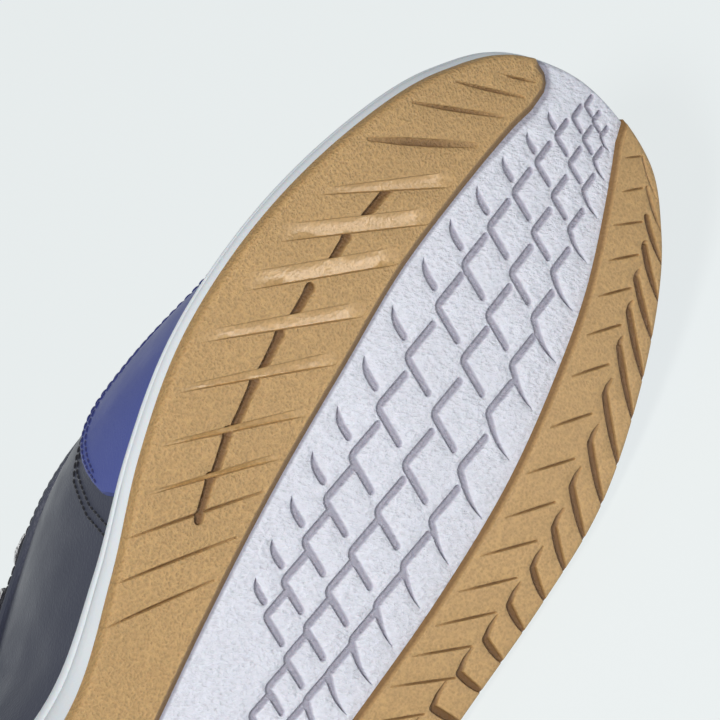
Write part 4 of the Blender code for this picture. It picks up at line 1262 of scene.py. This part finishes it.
Edge = namedtuple("Edge", "along up")
TOE_PANEL_EDGE = (
    Edge(0.53, 0.04),
    Edge(0.545, 0.17),
    Edge(0.57, 0.30),
    Edge(0.60, 0.375),
    Edge(0.66, 0.40),
    Edge(0.90, 0.42),
    Edge(1.00, 0.42),
)
PANEL_FOOT = 0.018
PANEL_LIFT = 0.0004
PANEL_THICKNESS = 0.0013


# An overlay's lower and upper edge, as shares of the way up and of its thickness there
OVERLAY_FOOT = ((0.0, -0.35), (-0.006, 0.45), (0.002, 0.85))
OVERLAY_HEAD = ((0.998, 0.85), (1.006, 0.45), (1.0, -0.35))
OVERLAY_TUCK = 0.002


def overlay(name, chosen, low, high, rows):
    """A sheet on the last between two edges, its rim rounded over and tucked down."""
    k = chosen % AROUND
    bottom = low[k]
    top = np.maximum(high[k], bottom + OVERLAY_TUCK)
    body = [(share, 1.0) for share in np.linspace(0.02, 0.98, rows)]
    rings = []
    for share, rise in (*OVERLAY_FOOT, *body, *OVERLAY_HEAD):
        ups = bottom + (top - bottom) * share
        if share < 0.01:
            ups = bottom + share - OVERLAY_TUCK
        if share > 0.99:
            ups = top + share - 1.0 + OVERLAY_TUCK
        base = last_point(chosen, ups, 0.0)
        out = PANEL_LIFT + PANEL_THICKNESS * rise - crease_depth(base, ups)
        rings.append(last_point(chosen, ups, out))
    for ups in (top, bottom):
        rings.append(last_point(chosen, ups, PANEL_LIFT - 0.3 * PANEL_THICKNESS))
    return ring_piece(name, np.array(rings).transpose(1, 0, 2), 0.9)


def columns_where(test, through_toe=True):
    """Columns in order from one side to the other, through the toe or the heel."""
    order = np.arange(AROUND) if through_toe else np.arange(-AROUND // 2, AROUND // 2)
    return order[test(PLACE_AT[order % AROUND])]


toe_columns = columns_where(lambda along: along > TOE_PANEL_EDGE[0].along)
panel_low = np.full(AROUND, PANEL_FOOT)
panel_high = table_curve(TOE_PANEL_EDGE, "up", PLACE_AT)
toe_panel = overlay("toe_panel", toe_columns, panel_low, panel_high, 14)
BLUE = (0.070, 0.095, 0.330)
BLUE_LIGHT = (0.090, 0.115, 0.370)
blue = leather_finish("blue_synthetic", BLUE, BLUE_LIGHT, 0.50, 1700.0)
toe_panel.data.materials.append(blue.material)
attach(toe_panel, "root")
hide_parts("toe_overlay")


def shape_node(nodes, kind, **values):
    """A geometry node with its sizes set by its sockets' names."""
    node = nodes.new(kind)
    for socket, value in values.items():
        node.inputs[socket].default_value = value
    return node


def thread_bead(nodes, links):
    """One stitch: a bead of unit size."""
    bead = shape_node(nodes, "GeometryNodeMeshUVSphere", Segments=6, Rings=5, Radius=0.5)
    return bead.outputs["Mesh"]


def repeat_tree(tree_name, shape):
    """Geometry nodes that lay one small shape at each pitch along a path, as real mesh."""
    tree = bpy.data.node_groups.new(tree_name, "GeometryNodeTree")
    face = tree.interface
    face.new_socket("Geometry", in_out="INPUT", socket_type="NodeSocketGeometry")
    for name in ("Pitch", "Length", "Thread"):
        face.new_socket(name, in_out="INPUT", socket_type="NodeSocketFloat")
    face.new_socket("Material", in_out="INPUT", socket_type="NodeSocketMaterial")
    face.new_socket("Geometry", in_out="OUTPUT", socket_type="NodeSocketGeometry")
    nodes = tree.nodes
    links = tree.links
    start = nodes.new("NodeGroupInput")
    end = nodes.new("NodeGroupOutput")
    curve = nodes.new("GeometryNodeMeshToCurve")
    along = nodes.new("GeometryNodeCurveToPoints")
    along.mode = "LENGTH"
    size = nodes.new("ShaderNodeCombineXYZ")
    place = nodes.new("GeometryNodeInstanceOnPoints")
    real = nodes.new("GeometryNodeRealizeInstances")
    paint = nodes.new("GeometryNodeSetMaterial")
    links.new(shape(nodes, links), place.inputs["Instance"])
    for source, output, target, socket in (
        (start, "Geometry", curve, "Mesh"),
        (curve, "Curve", along, "Curve"),
        (start, "Pitch", along, "Length"),
        (along, "Points", place, "Points"),
        (along, "Rotation", place, "Rotation"),
        (start, "Thread", size, "X"),
        (start, "Thread", size, "Y"),
        (start, "Length", size, "Z"),
        (size, "Vector", place, "Scale"),
        (place, "Instances", real, "Geometry"),
        (real, "Geometry", paint, "Geometry"),
        (start, "Material", paint, "Material"),
        (paint, "Geometry", end, "Geometry"),
    ):
        links.new(source.outputs[output], target.inputs[socket])
    return tree


STITCHES = repeat_tree("stitch_row", thread_bead)
# A stitch's pitch, its length and the thread's width
STITCH_SIZES = (0.0023, 0.0020, 0.00055)


def stitch_rows(name, paths, finish, sizes=STITCH_SIZES, tree=STITCHES):
    """Rows of stitches, or of another small shape, along paths, as one plain mesh."""
    builder = bmesh.new()
    for path in paths:
        verts = [builder.verts.new(point) for point in lay_down(path)]
        for a, b in zip(verts, verts[1:]):
            builder.edges.new((a, b))
    guide_mesh = bpy.data.meshes.new(name + "_guide")
    builder.to_mesh(guide_mesh)
    builder.free()
    guide = bpy.data.objects.new(name + "_guide", guide_mesh)
    bpy.context.scene.collection.objects.link(guide)
    modifier = guide.modifiers.new("Stitches", "NODES")
    modifier.node_group = tree
    values = dict(zip(("Pitch", "Length", "Thread"), sizes), Material=finish.material)
    for item in tree.interface.items_tree:
        if item.in_out == "INPUT" and item.name in values:
            modifier[item.identifier] = values[item.name]
    evaluated = guide.evaluated_get(bpy.context.evaluated_depsgraph_get())
    mesh = bpy.data.meshes.new_from_object(evaluated)
    mesh.name = name
    mesh.shade_smooth()
    bpy.data.objects.remove(guide, do_unlink=True)
    piece = bpy.data.objects.new(name, mesh)
    bpy.context.scene.collection.objects.link(piece)
    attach(piece, "root")
    return piece


TWISTS = 2600.0
TWIST_HEIGHT = 0.00015


def thread_finish(name, colour):
    finish = Finish(name, colour, 0.70, sheen=0.15)
    twist = finish.noise(TWISTS, 2.0)
    finish.bump(twist, TWIST_HEIGHT, 0.6)
    shade = finish.span(twist, 0.3, 0.7)
    finish.set_colour(finish.blend_colour(shade, tinted(colour, 0.8), tinted(colour, 1.15)))
    return finish


PANEL_TOP = PANEL_LIFT + PANEL_THICKNESS
THREAD_LIFT = 0.0001
# The two rows' distances from an edge, and the wall's length to the ridge's height
STITCH_INSETS = (0.0016, 0.0038)
WALL_PER_RIDGE = 1.15
COLUMN_PITCH = 0.0024


def seam_on(chosen, ups):
    """A path on the leather overlays, along chosen columns."""
    return last_point(chosen, ups[chosen % AROUND], PANEL_TOP + THREAD_LIFT)


def wall_share(inset):
    return inset / (RIDGE_AT * WALL_PER_RIDGE)


blue_thread = thread_finish("blue_thread", (0.020, 0.028, 0.160))
blue_rows = []
for inset in STITCH_INSETS:
    edge = np.maximum(panel_high - wall_share(inset), WALL_FOOT)
    shift = int(round(inset / COLUMN_PITCH))
    blue_rows.append(seam_on(toe_columns[shift : len(toe_columns) - shift], edge))
blue_stitches = stitch_rows("toe_panel_stitches", blue_rows, blue_thread)


# Navy overlays: the eyestay round the throat and the counter round the heel, cut from
# the same leather, edges skived and sewn down with two rows of black thread.

EYESTAY_DEPTH = 0.17
EYESTAY_TOE_DEPTH = 0.07
EYESTAY_BACK = 0.41
EDGE_MARGIN = 0.004
COUNTER_STITCH_FOOT = 0.03
toe_share = smooth_step((PLACE_AT - 0.70) / 0.2)
stay_low = EDGE_AT - EYESTAY_DEPTH + (EYESTAY_DEPTH - EYESTAY_TOE_DEPTH) * toe_share
stay_high = EDGE_AT - EDGE_MARGIN
stay_columns = columns_where(lambda along: along > EYESTAY_BACK)
eyestay_leather = overlay("eyestay_leather", stay_columns, stay_low, stay_high, 8)
eyestay_leather.data.materials.append(navy.material)
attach(eyestay_leather, "root")
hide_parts("eyestay")

COUNTER_EDGE = (
    Edge(0.00, 0.36),
    Edge(0.15, 0.33),
    Edge(0.25, 0.20),
    Edge(0.305, 0.06),
)
counter_high = table_curve(COUNTER_EDGE, "up", PLACE_AT)
counter_columns = columns_where(lambda along: along < COUNTER_EDGE[-1].along, False)
heel_panel = overlay("heel_panel", counter_columns, panel_low, counter_high, 12)
heel_panel.data.materials.append(navy.material)
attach(heel_panel, "root")
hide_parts("heel_counter")

black_thread = thread_finish("black_thread", (0.010, 0.011, 0.018))
navy_rows = []
for inset in STITCH_INSETS:
    counter_edge = np.maximum(counter_high - wall_share(inset), COUNTER_STITCH_FOOT)
    navy_rows.append(seam_on(stay_columns[1:-1], stay_low + wall_share(inset)))
    navy_rows.append(seam_on(counter_columns[2:-2], counter_edge))
navy_rows.append(seam_on(stay_columns[1:-1], stay_high - STITCH_INSETS[0] / RIDGE_AT))
# The quarter's front edge follows the blue panel's rear, a few millimetres behind it
QUARTER_GAPS = (0.0048, 0.0068)
QUARTER_TOP = 0.50
quarter_ups = np.linspace(0.03, QUARTER_TOP, 40)
rear_ups = [edge.up for edge in TOE_PANEL_EDGE[:4]] + [QUARTER_TOP]
rear_place = np.interp(quarter_ups, rear_ups, [edge.along for edge in TOE_PANEL_EDGE[:5]])
for half in (np.arange(AROUND // 2), np.arange(AROUND // 2, AROUND)):
    order = half[np.argsort(PLACE_AT[half])]
    for gap in QUARTER_GAPS:
        nearest = np.interp(rear_place - gap / SOLE_LENGTH, PLACE_AT[order], order)
        low_column = np.floor(nearest).astype(int)
        first = last_point(low_column, quarter_ups, 0.0002)
        second = last_point(low_column + 1, quarter_ups, 0.0002)
        navy_rows.append(first + (second - first) * (nearest - low_column)[:, None])
navy_stitches = stitch_rows("leather_stitches", navy_rows, black_thread)


# Collar padding: foam under brushed lining cloth, rolled over the top line inside and
# sewn to the upper along its lower edge.

COLLAR_PADDING = 0.0050
COLLAR_PADDING_END = 0.088
COLLAR_DEPTH = 0.15
collar_columns = columns_where(lambda along: along < COLLAR_PADDING_END / SOLE_LENGTH, False)
collar_at = collar_columns % AROUND
collar_middle = EDGE_AT[collar_at] - 0.5 * COLLAR_DEPTH - 0.002
collar_rings = []
for angle in np.linspace(0, 2 * pi, 18, endpoint=False):
    ups = collar_middle + (0.5 * COLLAR_DEPTH) * cos(angle)
    thick = COLLAR_PADDING * 0.5 * (1 - sin(angle))
    collar_rings.append(last_point(collar_columns, ups, -UPPER_WALL - 0.0003 - thick))
collar_pad = ring_piece("collar_pad", np.array(collar_rings).transpose(1, 0, 2))
collar_pad.data.materials.append(lining.material)
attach(collar_pad, "root")
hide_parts("collar_padding")


# Tongue: blue padded cloth under the throat, flat at the toe end where it is sewn in,
# and free at the top.

TONGUE_THICKNESS = 0.0045
TONGUE_WIDTH = 0.052
TONGUE_LEAN = 0.012
TONGUE_FRONT = 0.222
TONGUE_TOP = 0.106
TONGUE_FRONT_SHARE = 0.82
NEARBY = 0.002


def wall_values(y, *fields):
    return [float(table_curve(WALLS, field, y / SOLE_LENGTH)) for field in fields]


def feather_reach(y, side, middle):
    """How far the last's foot edge lies from the middle, on one side."""
    places, edge = MEDIAL_EDGE if side >= 0 else LATERAL_EDGE
    return abs(float(np.interp(y, places, edge)) - middle) - FEATHER_INSET


def over_last(x, y, out):
    """The point of the last straight above a place in plan, near its ridge."""
    centre_y = min(max(y, HEEL_CENTRE), THROAT_FRONT)
    centre = np.array((float(spine_x(centre_y)), centre_y))
    way = np.array((x, y)) - centre
    distance = hypot(*way)
    if y <= THROAT_FRONT:
        reach = feather_reach(y, way[0], centre[0])
        place = y
    else:
        aim = way / max(distance, 1e-9)
        ahead = np.nonzero(FEATHER[:, 1] > THROAT_FRONT)[0]
        best = ahead[np.argmax(FAN[ahead] @ aim)]
        reach = REACH[best]
        place = FEATHER[best, 1]
    low, top, bulge = wall_values(place, "low", "top", "bulge")
    ups = np.linspace(0.3, 1.0, 200)
    up = float(np.interp(-distance, -wall_distance(ups, reach + out, bulge, top), ups))
    height = wall_height(up, float(ridge_height(centre_y)) + out, low)
    return np.array((x, y, float(midsole_top(y)) + CLEARANCE + height))


def normal_over_last(x, y, out):
    """The way that the last's surface faces above a place in plan."""
    left, right = (over_last(x + aside, y, out) for aside in (-NEARBY, NEARBY))
    back, front = (over_last(x, y + ahead, out) for ahead in (-NEARBY, NEARBY))
    normal = np.cross(right - left, front - back)
    return normal / np.linalg.norm(normal)


def tongue_line(step):
    """Where the tongue lies at one share of its length: y, middle, lean and half width."""
    y = TONGUE_FRONT + (TONGUE_TOP - TONGUE_FRONT) * step
    middle = float(spine_x(min(max(y, HEEL_CENTRE), THROAT_FRONT)))
    lean = TONGUE_LEAN * float(smooth_step((step - 0.3) / 0.7))
    wide = TONGUE_FRONT_SHARE + (1 - TONGUE_FRONT_SHARE) * float(smooth_step(step / 0.5))
    half = 0.5 * TONGUE_WIDTH * wide * (1 - 0.12 * float(smooth_step((step - 0.9) / 0.1)))
    return y, middle, lean, half


def signed_power(value, power):
    return np.sign(value) * abs(value) ** power


tongue_out = -(UPPER_WALL + 0.0006)
tongue_sections = []
for step in np.linspace(0, 1, 44):
    y, middle, lean, half = tongue_line(step)
    section = []
    for angle in np.linspace(0, 2 * pi, 40, endpoint=False):
        share = signed_power(cos(angle), 0.6)
        rise = signed_power(sin(angle), 0.7)
        beside = smooth_step((abs(share) - 0.78) / 0.12) * smooth_step((1.0 - abs(share)) / 0.02)
        puff = (1.0 - 0.35 * beside) * (1 - 0.3 * (step < 0.02))
        thick = 0.5 * TONGUE_THICKNESS * (rise * puff - 1)
        section.append(over_last(middle + half * share, y - lean * share**2, tongue_out + thick))
    tongue_sections.append(section)
tongue = ring_piece("padded_tongue", tongue_sections)
TONGUE_BLUE = (0.045, 0.055, 0.230)
TONGUE_LIGHT = (0.080, 0.100, 0.360)
tongue_cloth = cloth_finish("tongue_fabric", TONGUE_BLUE, TONGUE_LIGHT, 0.0007)
tongue.data.materials.append(tongue_cloth.material)
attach(tongue, "root")
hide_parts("tongue")


# Tongue tape: a strip of the lining cloth, folded over the tongue's free edge and sewn
# down through it.

TAPE_HALF = 0.0013
TAPE_RISE = 0.0022
TAPE_FROM = 0.62
TAPE_TO = 0.985


def tape_side(side, steps):
    """Places of the tape along one side of the tongue."""
    lines = [tongue_line(step) for step in steps]
    return [(middle + side * half * 0.985, y - lean * 0.97) for y, middle, lean, half in lines]


y, middle, lean, half = tongue_line(1.0)
tape_places = tape_side(1, np.linspace(TAPE_FROM, TAPE_TO, 16))
for share in np.linspace(0.94, -0.94, 24):
    tape_places.append((middle + half * share, y - lean * share**2 + 0.0004))
tape_places += tape_side(-1, np.linspace(TAPE_TO, TAPE_FROM, 16))
tape_out = tongue_out - 0.5 * TONGUE_THICKNESS
tape_path = np.array([over_last(x, y, tape_out) for x, y in tape_places])
tape_normals = np.array([normal_over_last(x, y, tape_out) for x, y in tape_places])
tape_aside = np.cross(tape_normals, np.gradient(tape_path, axis=0))
tape_aside /= np.linalg.norm(tape_aside, axis=1)[:, None]
turns = np.linspace(0, 2 * pi, 12, endpoint=False)
tape_rings = [
    [point + aside * TAPE_HALF * cos(a) + normal * TAPE_RISE * sin(a) for a in turns]
    for point, aside, normal in zip(tape_path, tape_aside, tape_normals)
]
tongue_tape = ring_piece("tongue_tape", tape_rings)
tongue_tape.data.materials.append(lining.material)
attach(tongue_tape, "root")


# Lace: one flat woven white lace, straight across at the front pair of holes and crossed
# up to the top pair, where both ends go in and stop.

LACE_WIDTH = 0.0070
LACE_THICKNESS = 0.0014
LACE_CROSSING = 0.0016
LACE_SAG = 0.0006
LACE_SINK = 0.0034
LACE_DIP = 0.0012
LACE_TAPER = 0.007
EYELET_PAIRS = 6
EYELET_FRONT = 0.200
EYELET_BACK = 0.134
EYELET_INSET = 0.0070


def eyelet_place(pair, side):
    y = EYELET_FRONT + (EYELET_BACK - EYELET_FRONT) * pair / (EYELET_PAIRS - 1)
    middle = float(spine_x(y))
    up, top, bulge = wall_values(y, "edge", "top", "bulge")
    distance = wall_distance(up, feather_reach(y, side, middle), bulge, top)
    return np.array((middle + side * (distance + EYELET_INSET), y))


lace_builder = bmesh.new()
weave_layer = lace_builder.verts.layers.float_vector.new("weave")
lace_runs = [(eyelet_place(0, -1), eyelet_place(0, 1), 0.0)]
for pair in range(EYELET_PAIRS - 1):
    for side in (-1, 1):
        lift = 0.0 if (side > 0) == (pair % 2 == 0) else LACE_CROSSING
        lace_runs.append((eyelet_place(pair, side), eyelet_place(pair + 1, -side), lift))
lace_out = PANEL_TOP + 0.0009
for start, end, lift in lace_runs:
    points = []
    normals = []
    for share in np.linspace(0, 1, 26):
        x, y = start + (end - start) * share
        sag = -LACE_SAG * sin(pi * share)
        crossing = lift * float(np.exp(-(((share - 0.5) / 0.16) ** 2)))
        points.append(over_last(x, y, lace_out + sag + crossing))
        normals.append(normal_over_last(x, y, lace_out))
    # Each end dips over the hole's rim and goes in
    head, tail = (
        [points[end_at] - normals[end_at] * sink - sign * (points[next_at] - points[end_at]) * back
         for sink, back in ((LACE_SINK, 0.0), (LACE_DIP, 0.35))]
        for end_at, next_at, sign in ((0, 1, 1), (-1, -2, -1))
    )
    points = np.array([*head, *points, *reversed(tail)])
    normals = np.array([normals[0]] * 2 + normals + [normals[-1]] * 2)
    ahead = np.gradient(points, axis=0)
    ahead /= np.linalg.norm(ahead, axis=1)[:, None]
    flat_way = points[-4] - points[3]
    flat_way /= np.linalg.norm(flat_way)
    aside = np.cross(normals, flat_way)
    aside /= np.linalg.norm(aside, axis=1)[:, None]
    face_way = np.cross(ahead, aside)
    face_way *= np.sign(np.sum(face_way * normals, axis=1))[:, None] + 1e-9
    face_way /= np.maximum(np.linalg.norm(face_way, axis=1), 1e-9)[:, None]
    steps = np.linalg.norm(np.diff(points, axis=0), axis=1)
    walked = np.concatenate([[0], np.cumsum(steps)])
    from_end = np.minimum(walked, walked[-1] - walked)
    widths = LACE_WIDTH * (0.55 + 0.45 * smooth_step(from_end / LACE_TAPER))
    rings = []
    for point, side_way, normal, width in zip(points, aside, face_way, widths):
        ring = []
        for angle in np.linspace(0, 2 * pi, 12, endpoint=False):
            across = signed_power(cos(angle), 0.7) * 0.5 * width
            rise = signed_power(sin(angle), 0.8) * 0.5 * LACE_THICKNESS
            ring.append(point + side_way * across + normal * rise)
        rings.append(ring)
    for row, far, width in zip(join_rings(lace_builder, rings), walked, widths):
        for step, vert in enumerate(row):
            vert[weave_layer] = (far, cos(2 * pi * step / len(row)) * 0.5 * width, 0.0)
woven_lace = mesh_piece("woven_lace", lace_builder, 1.2)
RIB_PITCH = 0.0013
CROSS_RIB_PITCH = 0.0010
RIB_HEIGHT = 0.00012
LACE_WHITE = (0.80, 0.81, 0.83)
lace_finish = Finish("lace_fabric", LACE_WHITE, 0.85, sheen=0.2)
weave_place = lace_finish.add("ShaderNodeAttribute", attribute_name="weave").outputs["Vector"]
split = lace_finish.add("ShaderNodeSeparateXYZ")
lace_finish.links.new(weave_place, split.inputs["Vector"])
slant = lace_finish.math("ABSOLUTE", split.outputs["Y"])
slanted = lace_finish.math("ADD", split.outputs["X"], slant)
rib = lace_finish.math("SINE", lace_finish.math("MULTIPLY", slanted, 2 * pi / RIB_PITCH))
crossed = lace_finish.math("MULTIPLY", split.outputs["Y"], 2 * pi / CROSS_RIB_PITCH)
cross_rib = lace_finish.math("SINE", crossed)
thread_relief = lace_finish.math("ADD", rib, lace_finish.math("MULTIPLY", cross_rib, 0.6))
lace_finish.bump(thread_relief, RIB_HEIGHT, 0.9)
lace_shade = lace_finish.span(thread_relief, -1.6, 1.6)
lace_finish.set_colour(
    lace_finish.blend_colour(lace_shade, tinted(LACE_WHITE, 0.80), LACE_WHITE)
)
woven_lace.data.materials.append(lace_finish.material)
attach(woven_lace, "root")
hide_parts("laces")


# Eyelets: holes punched through the eyestay and the wall under it, six to a side, each
# with a rolled dark rim pressed round it.

EYELET_WIDTH = 0.0056
EYELET_SIDES = 14


def rolled_ring(nodes, links):
    """A rolled ring of unit width with its hole closed by a thin dark plug, a painted shadow for
    the hole.
    """
    kind = "GeometryNodeCurvePrimitiveCircle"
    circle = shape_node(nodes, kind, Resolution=EYELET_SIDES, Radius=0.41)
    profile = shape_node(nodes, kind, Resolution=6, Radius=0.09)
    sizes = {"Vertices": EYELET_SIDES, "Radius": 0.40, "Depth": 0.05}
    painted_hole_shadow = shape_node(nodes, "GeometryNodeMeshCylinder", **sizes)
    sweep = nodes.new("GeometryNodeCurveToMesh")
    both = nodes.new("GeometryNodeJoinGeometry")
    links.new(circle.outputs["Curve"], sweep.inputs["Curve"])
    links.new(profile.outputs["Curve"], sweep.inputs["Profile Curve"])
    links.new(sweep.outputs["Mesh"], both.inputs["Geometry"])
    links.new(painted_hole_shadow.outputs["Mesh"], both.inputs["Geometry"])
    return both.outputs["Geometry"]


eyelet_marks = []
for pair in range(EYELET_PAIRS):
    for side in (-1, 1):
        x, y = eyelet_place(pair, side)
        seat = over_last(x, y, PANEL_TOP + 0.0002)
        eyelet_marks.append(np.array([seat, seat + normal_over_last(x, y, PANEL_TOP) * MM]))
# The pitch is longer than a mark, so each mark carries one eyelet
eyelet_sizes = (0.010, EYELET_WIDTH, EYELET_WIDTH)
EYELETS = repeat_tree("eyelet_row", rolled_ring)
eyelets = stitch_rows("eyelets", eyelet_marks, black_thread, eyelet_sizes, EYELETS)


# Sock liner: a foam footbed under brushed cloth, cupped a little at its rim. It lies
# loose inside the shoe on the turned-in leather.

INSOLE_THICKNESS = 0.0040
INSOLE_GAP = 0.0012
INSOLE_BASE = 2 * CLEARANCE + UPPER_WALL
inner_reach = REACH - UPPER_WALL
low_ups = np.linspace(0, 0.4, 41)[:, None]
low_reach = wall_distance(low_ups, inner_reach, BULGE_AT, TOP_AT)
low_height = wall_height(low_ups, RIDGE_AT - UPPER_WALL, LOW_AT)
below = low_height < INSOLE_BASE + INSOLE_THICKNESS + INSOLE_GAP
wall_near = np.min(np.where(below, low_reach, 1.0), axis=0)
footbed_reach = np.minimum(wall_near, inner_reach) - INSOLE_GAP


def footbed_ring(inset, rise):
    points = SPINE + FAN * (footbed_reach - inset)[:, None]
    return np.column_stack([points, midsole_top(points[:, 1]) + INSOLE_BASE + rise])


# The footbed's section: insets from its widest ring, and shares of its thickness
FOOTBED_SECTION = (
    (0.0012, 0.0),
    (0.0003, 0.08),
    (0.0, 0.3),
    (0.0, 0.75),
    (0.0003, 0.93),
    (0.0011, 1.0),
    (0.0024, 0.96),
    (0.0060, 0.86),
    (0.0110, 0.80),
)
footbed_rings = [footbed_ring(inset, rise * INSOLE_THICKNESS) for inset, rise in FOOTBED_SECTION]
sock_liner = ring_solid("sock_liner", footbed_rings, 1.2)
SOCK_DARK = (0.022, 0.026, 0.060)
SOCK_LIGHT = (0.050, 0.060, 0.130)
sock_cloth = cloth_finish("sock_cloth", SOCK_DARK, SOCK_LIGHT, 0.0006)
sock_liner.data.materials.append(sock_cloth.material)
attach(sock_liner, "root")
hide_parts("insole")


# Floor, light and camera: a pale sweep, a soft key light above, a broad weak fill and a
# small gleam for the polished ramps, and a long lens that looks up the sole from the
# heel and the medial side.

FLOOR_REACH = 4.0
floor_mesh = bpy.data.meshes.new("floor")
FLOOR_CORNERS = ((-1, -1), (1, -1), (1, 1), (-1, 1))
floor_places = [(x * FLOOR_REACH, y * FLOOR_REACH, 0) for x, y in FLOOR_CORNERS]
floor_mesh.from_pydata(floor_places, [], [(0, 1, 2, 3)])
floor = bpy.data.objects.new("floor", floor_mesh)
bpy.context.scene.collection.objects.link(floor)
floor_paint = bpy.data.materials.new("floor_paint")
floor_paint.use_nodes = True
floor_shader = floor_paint.node_tree.nodes["Principled BSDF"]
floor_shader.inputs["Base Color"].default_value = (0.10, 0.105, 0.105, 1)
floor_shader.inputs["Roughness"].default_value = 0.95
floor_shader.inputs["Specular IOR Level"].default_value = 0.05
floor_shader.inputs["Emission Color"].default_value = (0.81, 0.851, 0.855, 1)
floor_shader.inputs["Emission Strength"].default_value = 0.917
floor_mesh.materials.append(floor_paint)

world = bpy.data.worlds.new("studio")
bpy.context.scene.world = world
world.use_nodes = True
sky = world.node_tree.nodes["Background"]
sky.inputs["Color"].default_value = (0.80, 0.845, 0.86, 1)
sky.inputs["Strength"].default_value = 0.25

TILT_MEDIAL = radians(26)
TILT_HEEL = radians(15)
TOE_ANGLE = radians(60)
CAMERA_DISTANCE = 0.900
LENS = 216.0
AIM = np.array((0.0, 0.2031, 0.0))
AIM_RIGHT = 0.00833
AIM_DOWN = 0.00833
to_camera = np.array((tan(TILT_MEDIAL), -tan(TILT_HEEL), -1.0))
to_camera /= np.linalg.norm(to_camera)
toe_up = np.array((0.0, 1.0, 0.0)) - to_camera * to_camera[1]
toe_up /= np.linalg.norm(toe_up)
across_way = np.cross(-to_camera, toe_up)
right_way = cos(TOE_ANGLE) * toe_up + sin(TOE_ANGLE) * across_way
up_way = sin(TOE_ANGLE) * toe_up - cos(TOE_ANGLE) * across_way
eye = AIM + to_camera * CAMERA_DISTANCE - right_way * AIM_RIGHT + up_way * AIM_DOWN
camera_data = bpy.data.cameras.new("camera")
camera_data.lens = LENS
camera_data.sensor_width = 36.0
camera_data.clip_end = 20.0
camera = bpy.data.objects.new("camera", camera_data)
bpy.context.scene.collection.objects.link(camera)
turn = np.column_stack([LYING_TURN @ way for way in (right_way, up_way, to_camera)])
eye_place = Matrix.Translation(lay_down(eye[None])[0])
camera.matrix_world = eye_place @ Matrix(turn.tolist()).to_4x4()
bpy.context.scene.camera = camera

aim_point = Vector(lay_down(AIM[None])[0])


def soft_light(name, way, distance, size, power, colour):
    data = bpy.data.lights.new(name, "AREA")
    data.shape = "DISK"
    data.size = size
    data.energy = power
    data.color = colour
    lamp = bpy.data.objects.new(name, data)
    lamp.location = aim_point + Vector(way).normalized() * distance
    lamp.rotation_euler = (aim_point - lamp.location).to_track_quat("-Z", "Y").to_euler()
    lamp.visible_camera = False
    bpy.context.scene.collection.objects.link(lamp)
    return lamp


# Each light's way from the aim, distance, width, power and colour
soft_light("key", (-0.452, -0.552, 0.704), 1.2, 0.26, 12.0, (1.0, 0.985, 0.96))
soft_light("fill", (0.35, -0.90, 0.45), 1.6, 1.4, 1.2, (0.93, 0.96, 1.0))
gleam = soft_light("gleam", (0.25, -0.93, -0.27), 0.17, 0.085, 0.22, (1.0, 0.97, 0.92))
gleam.visible_diffuse = False
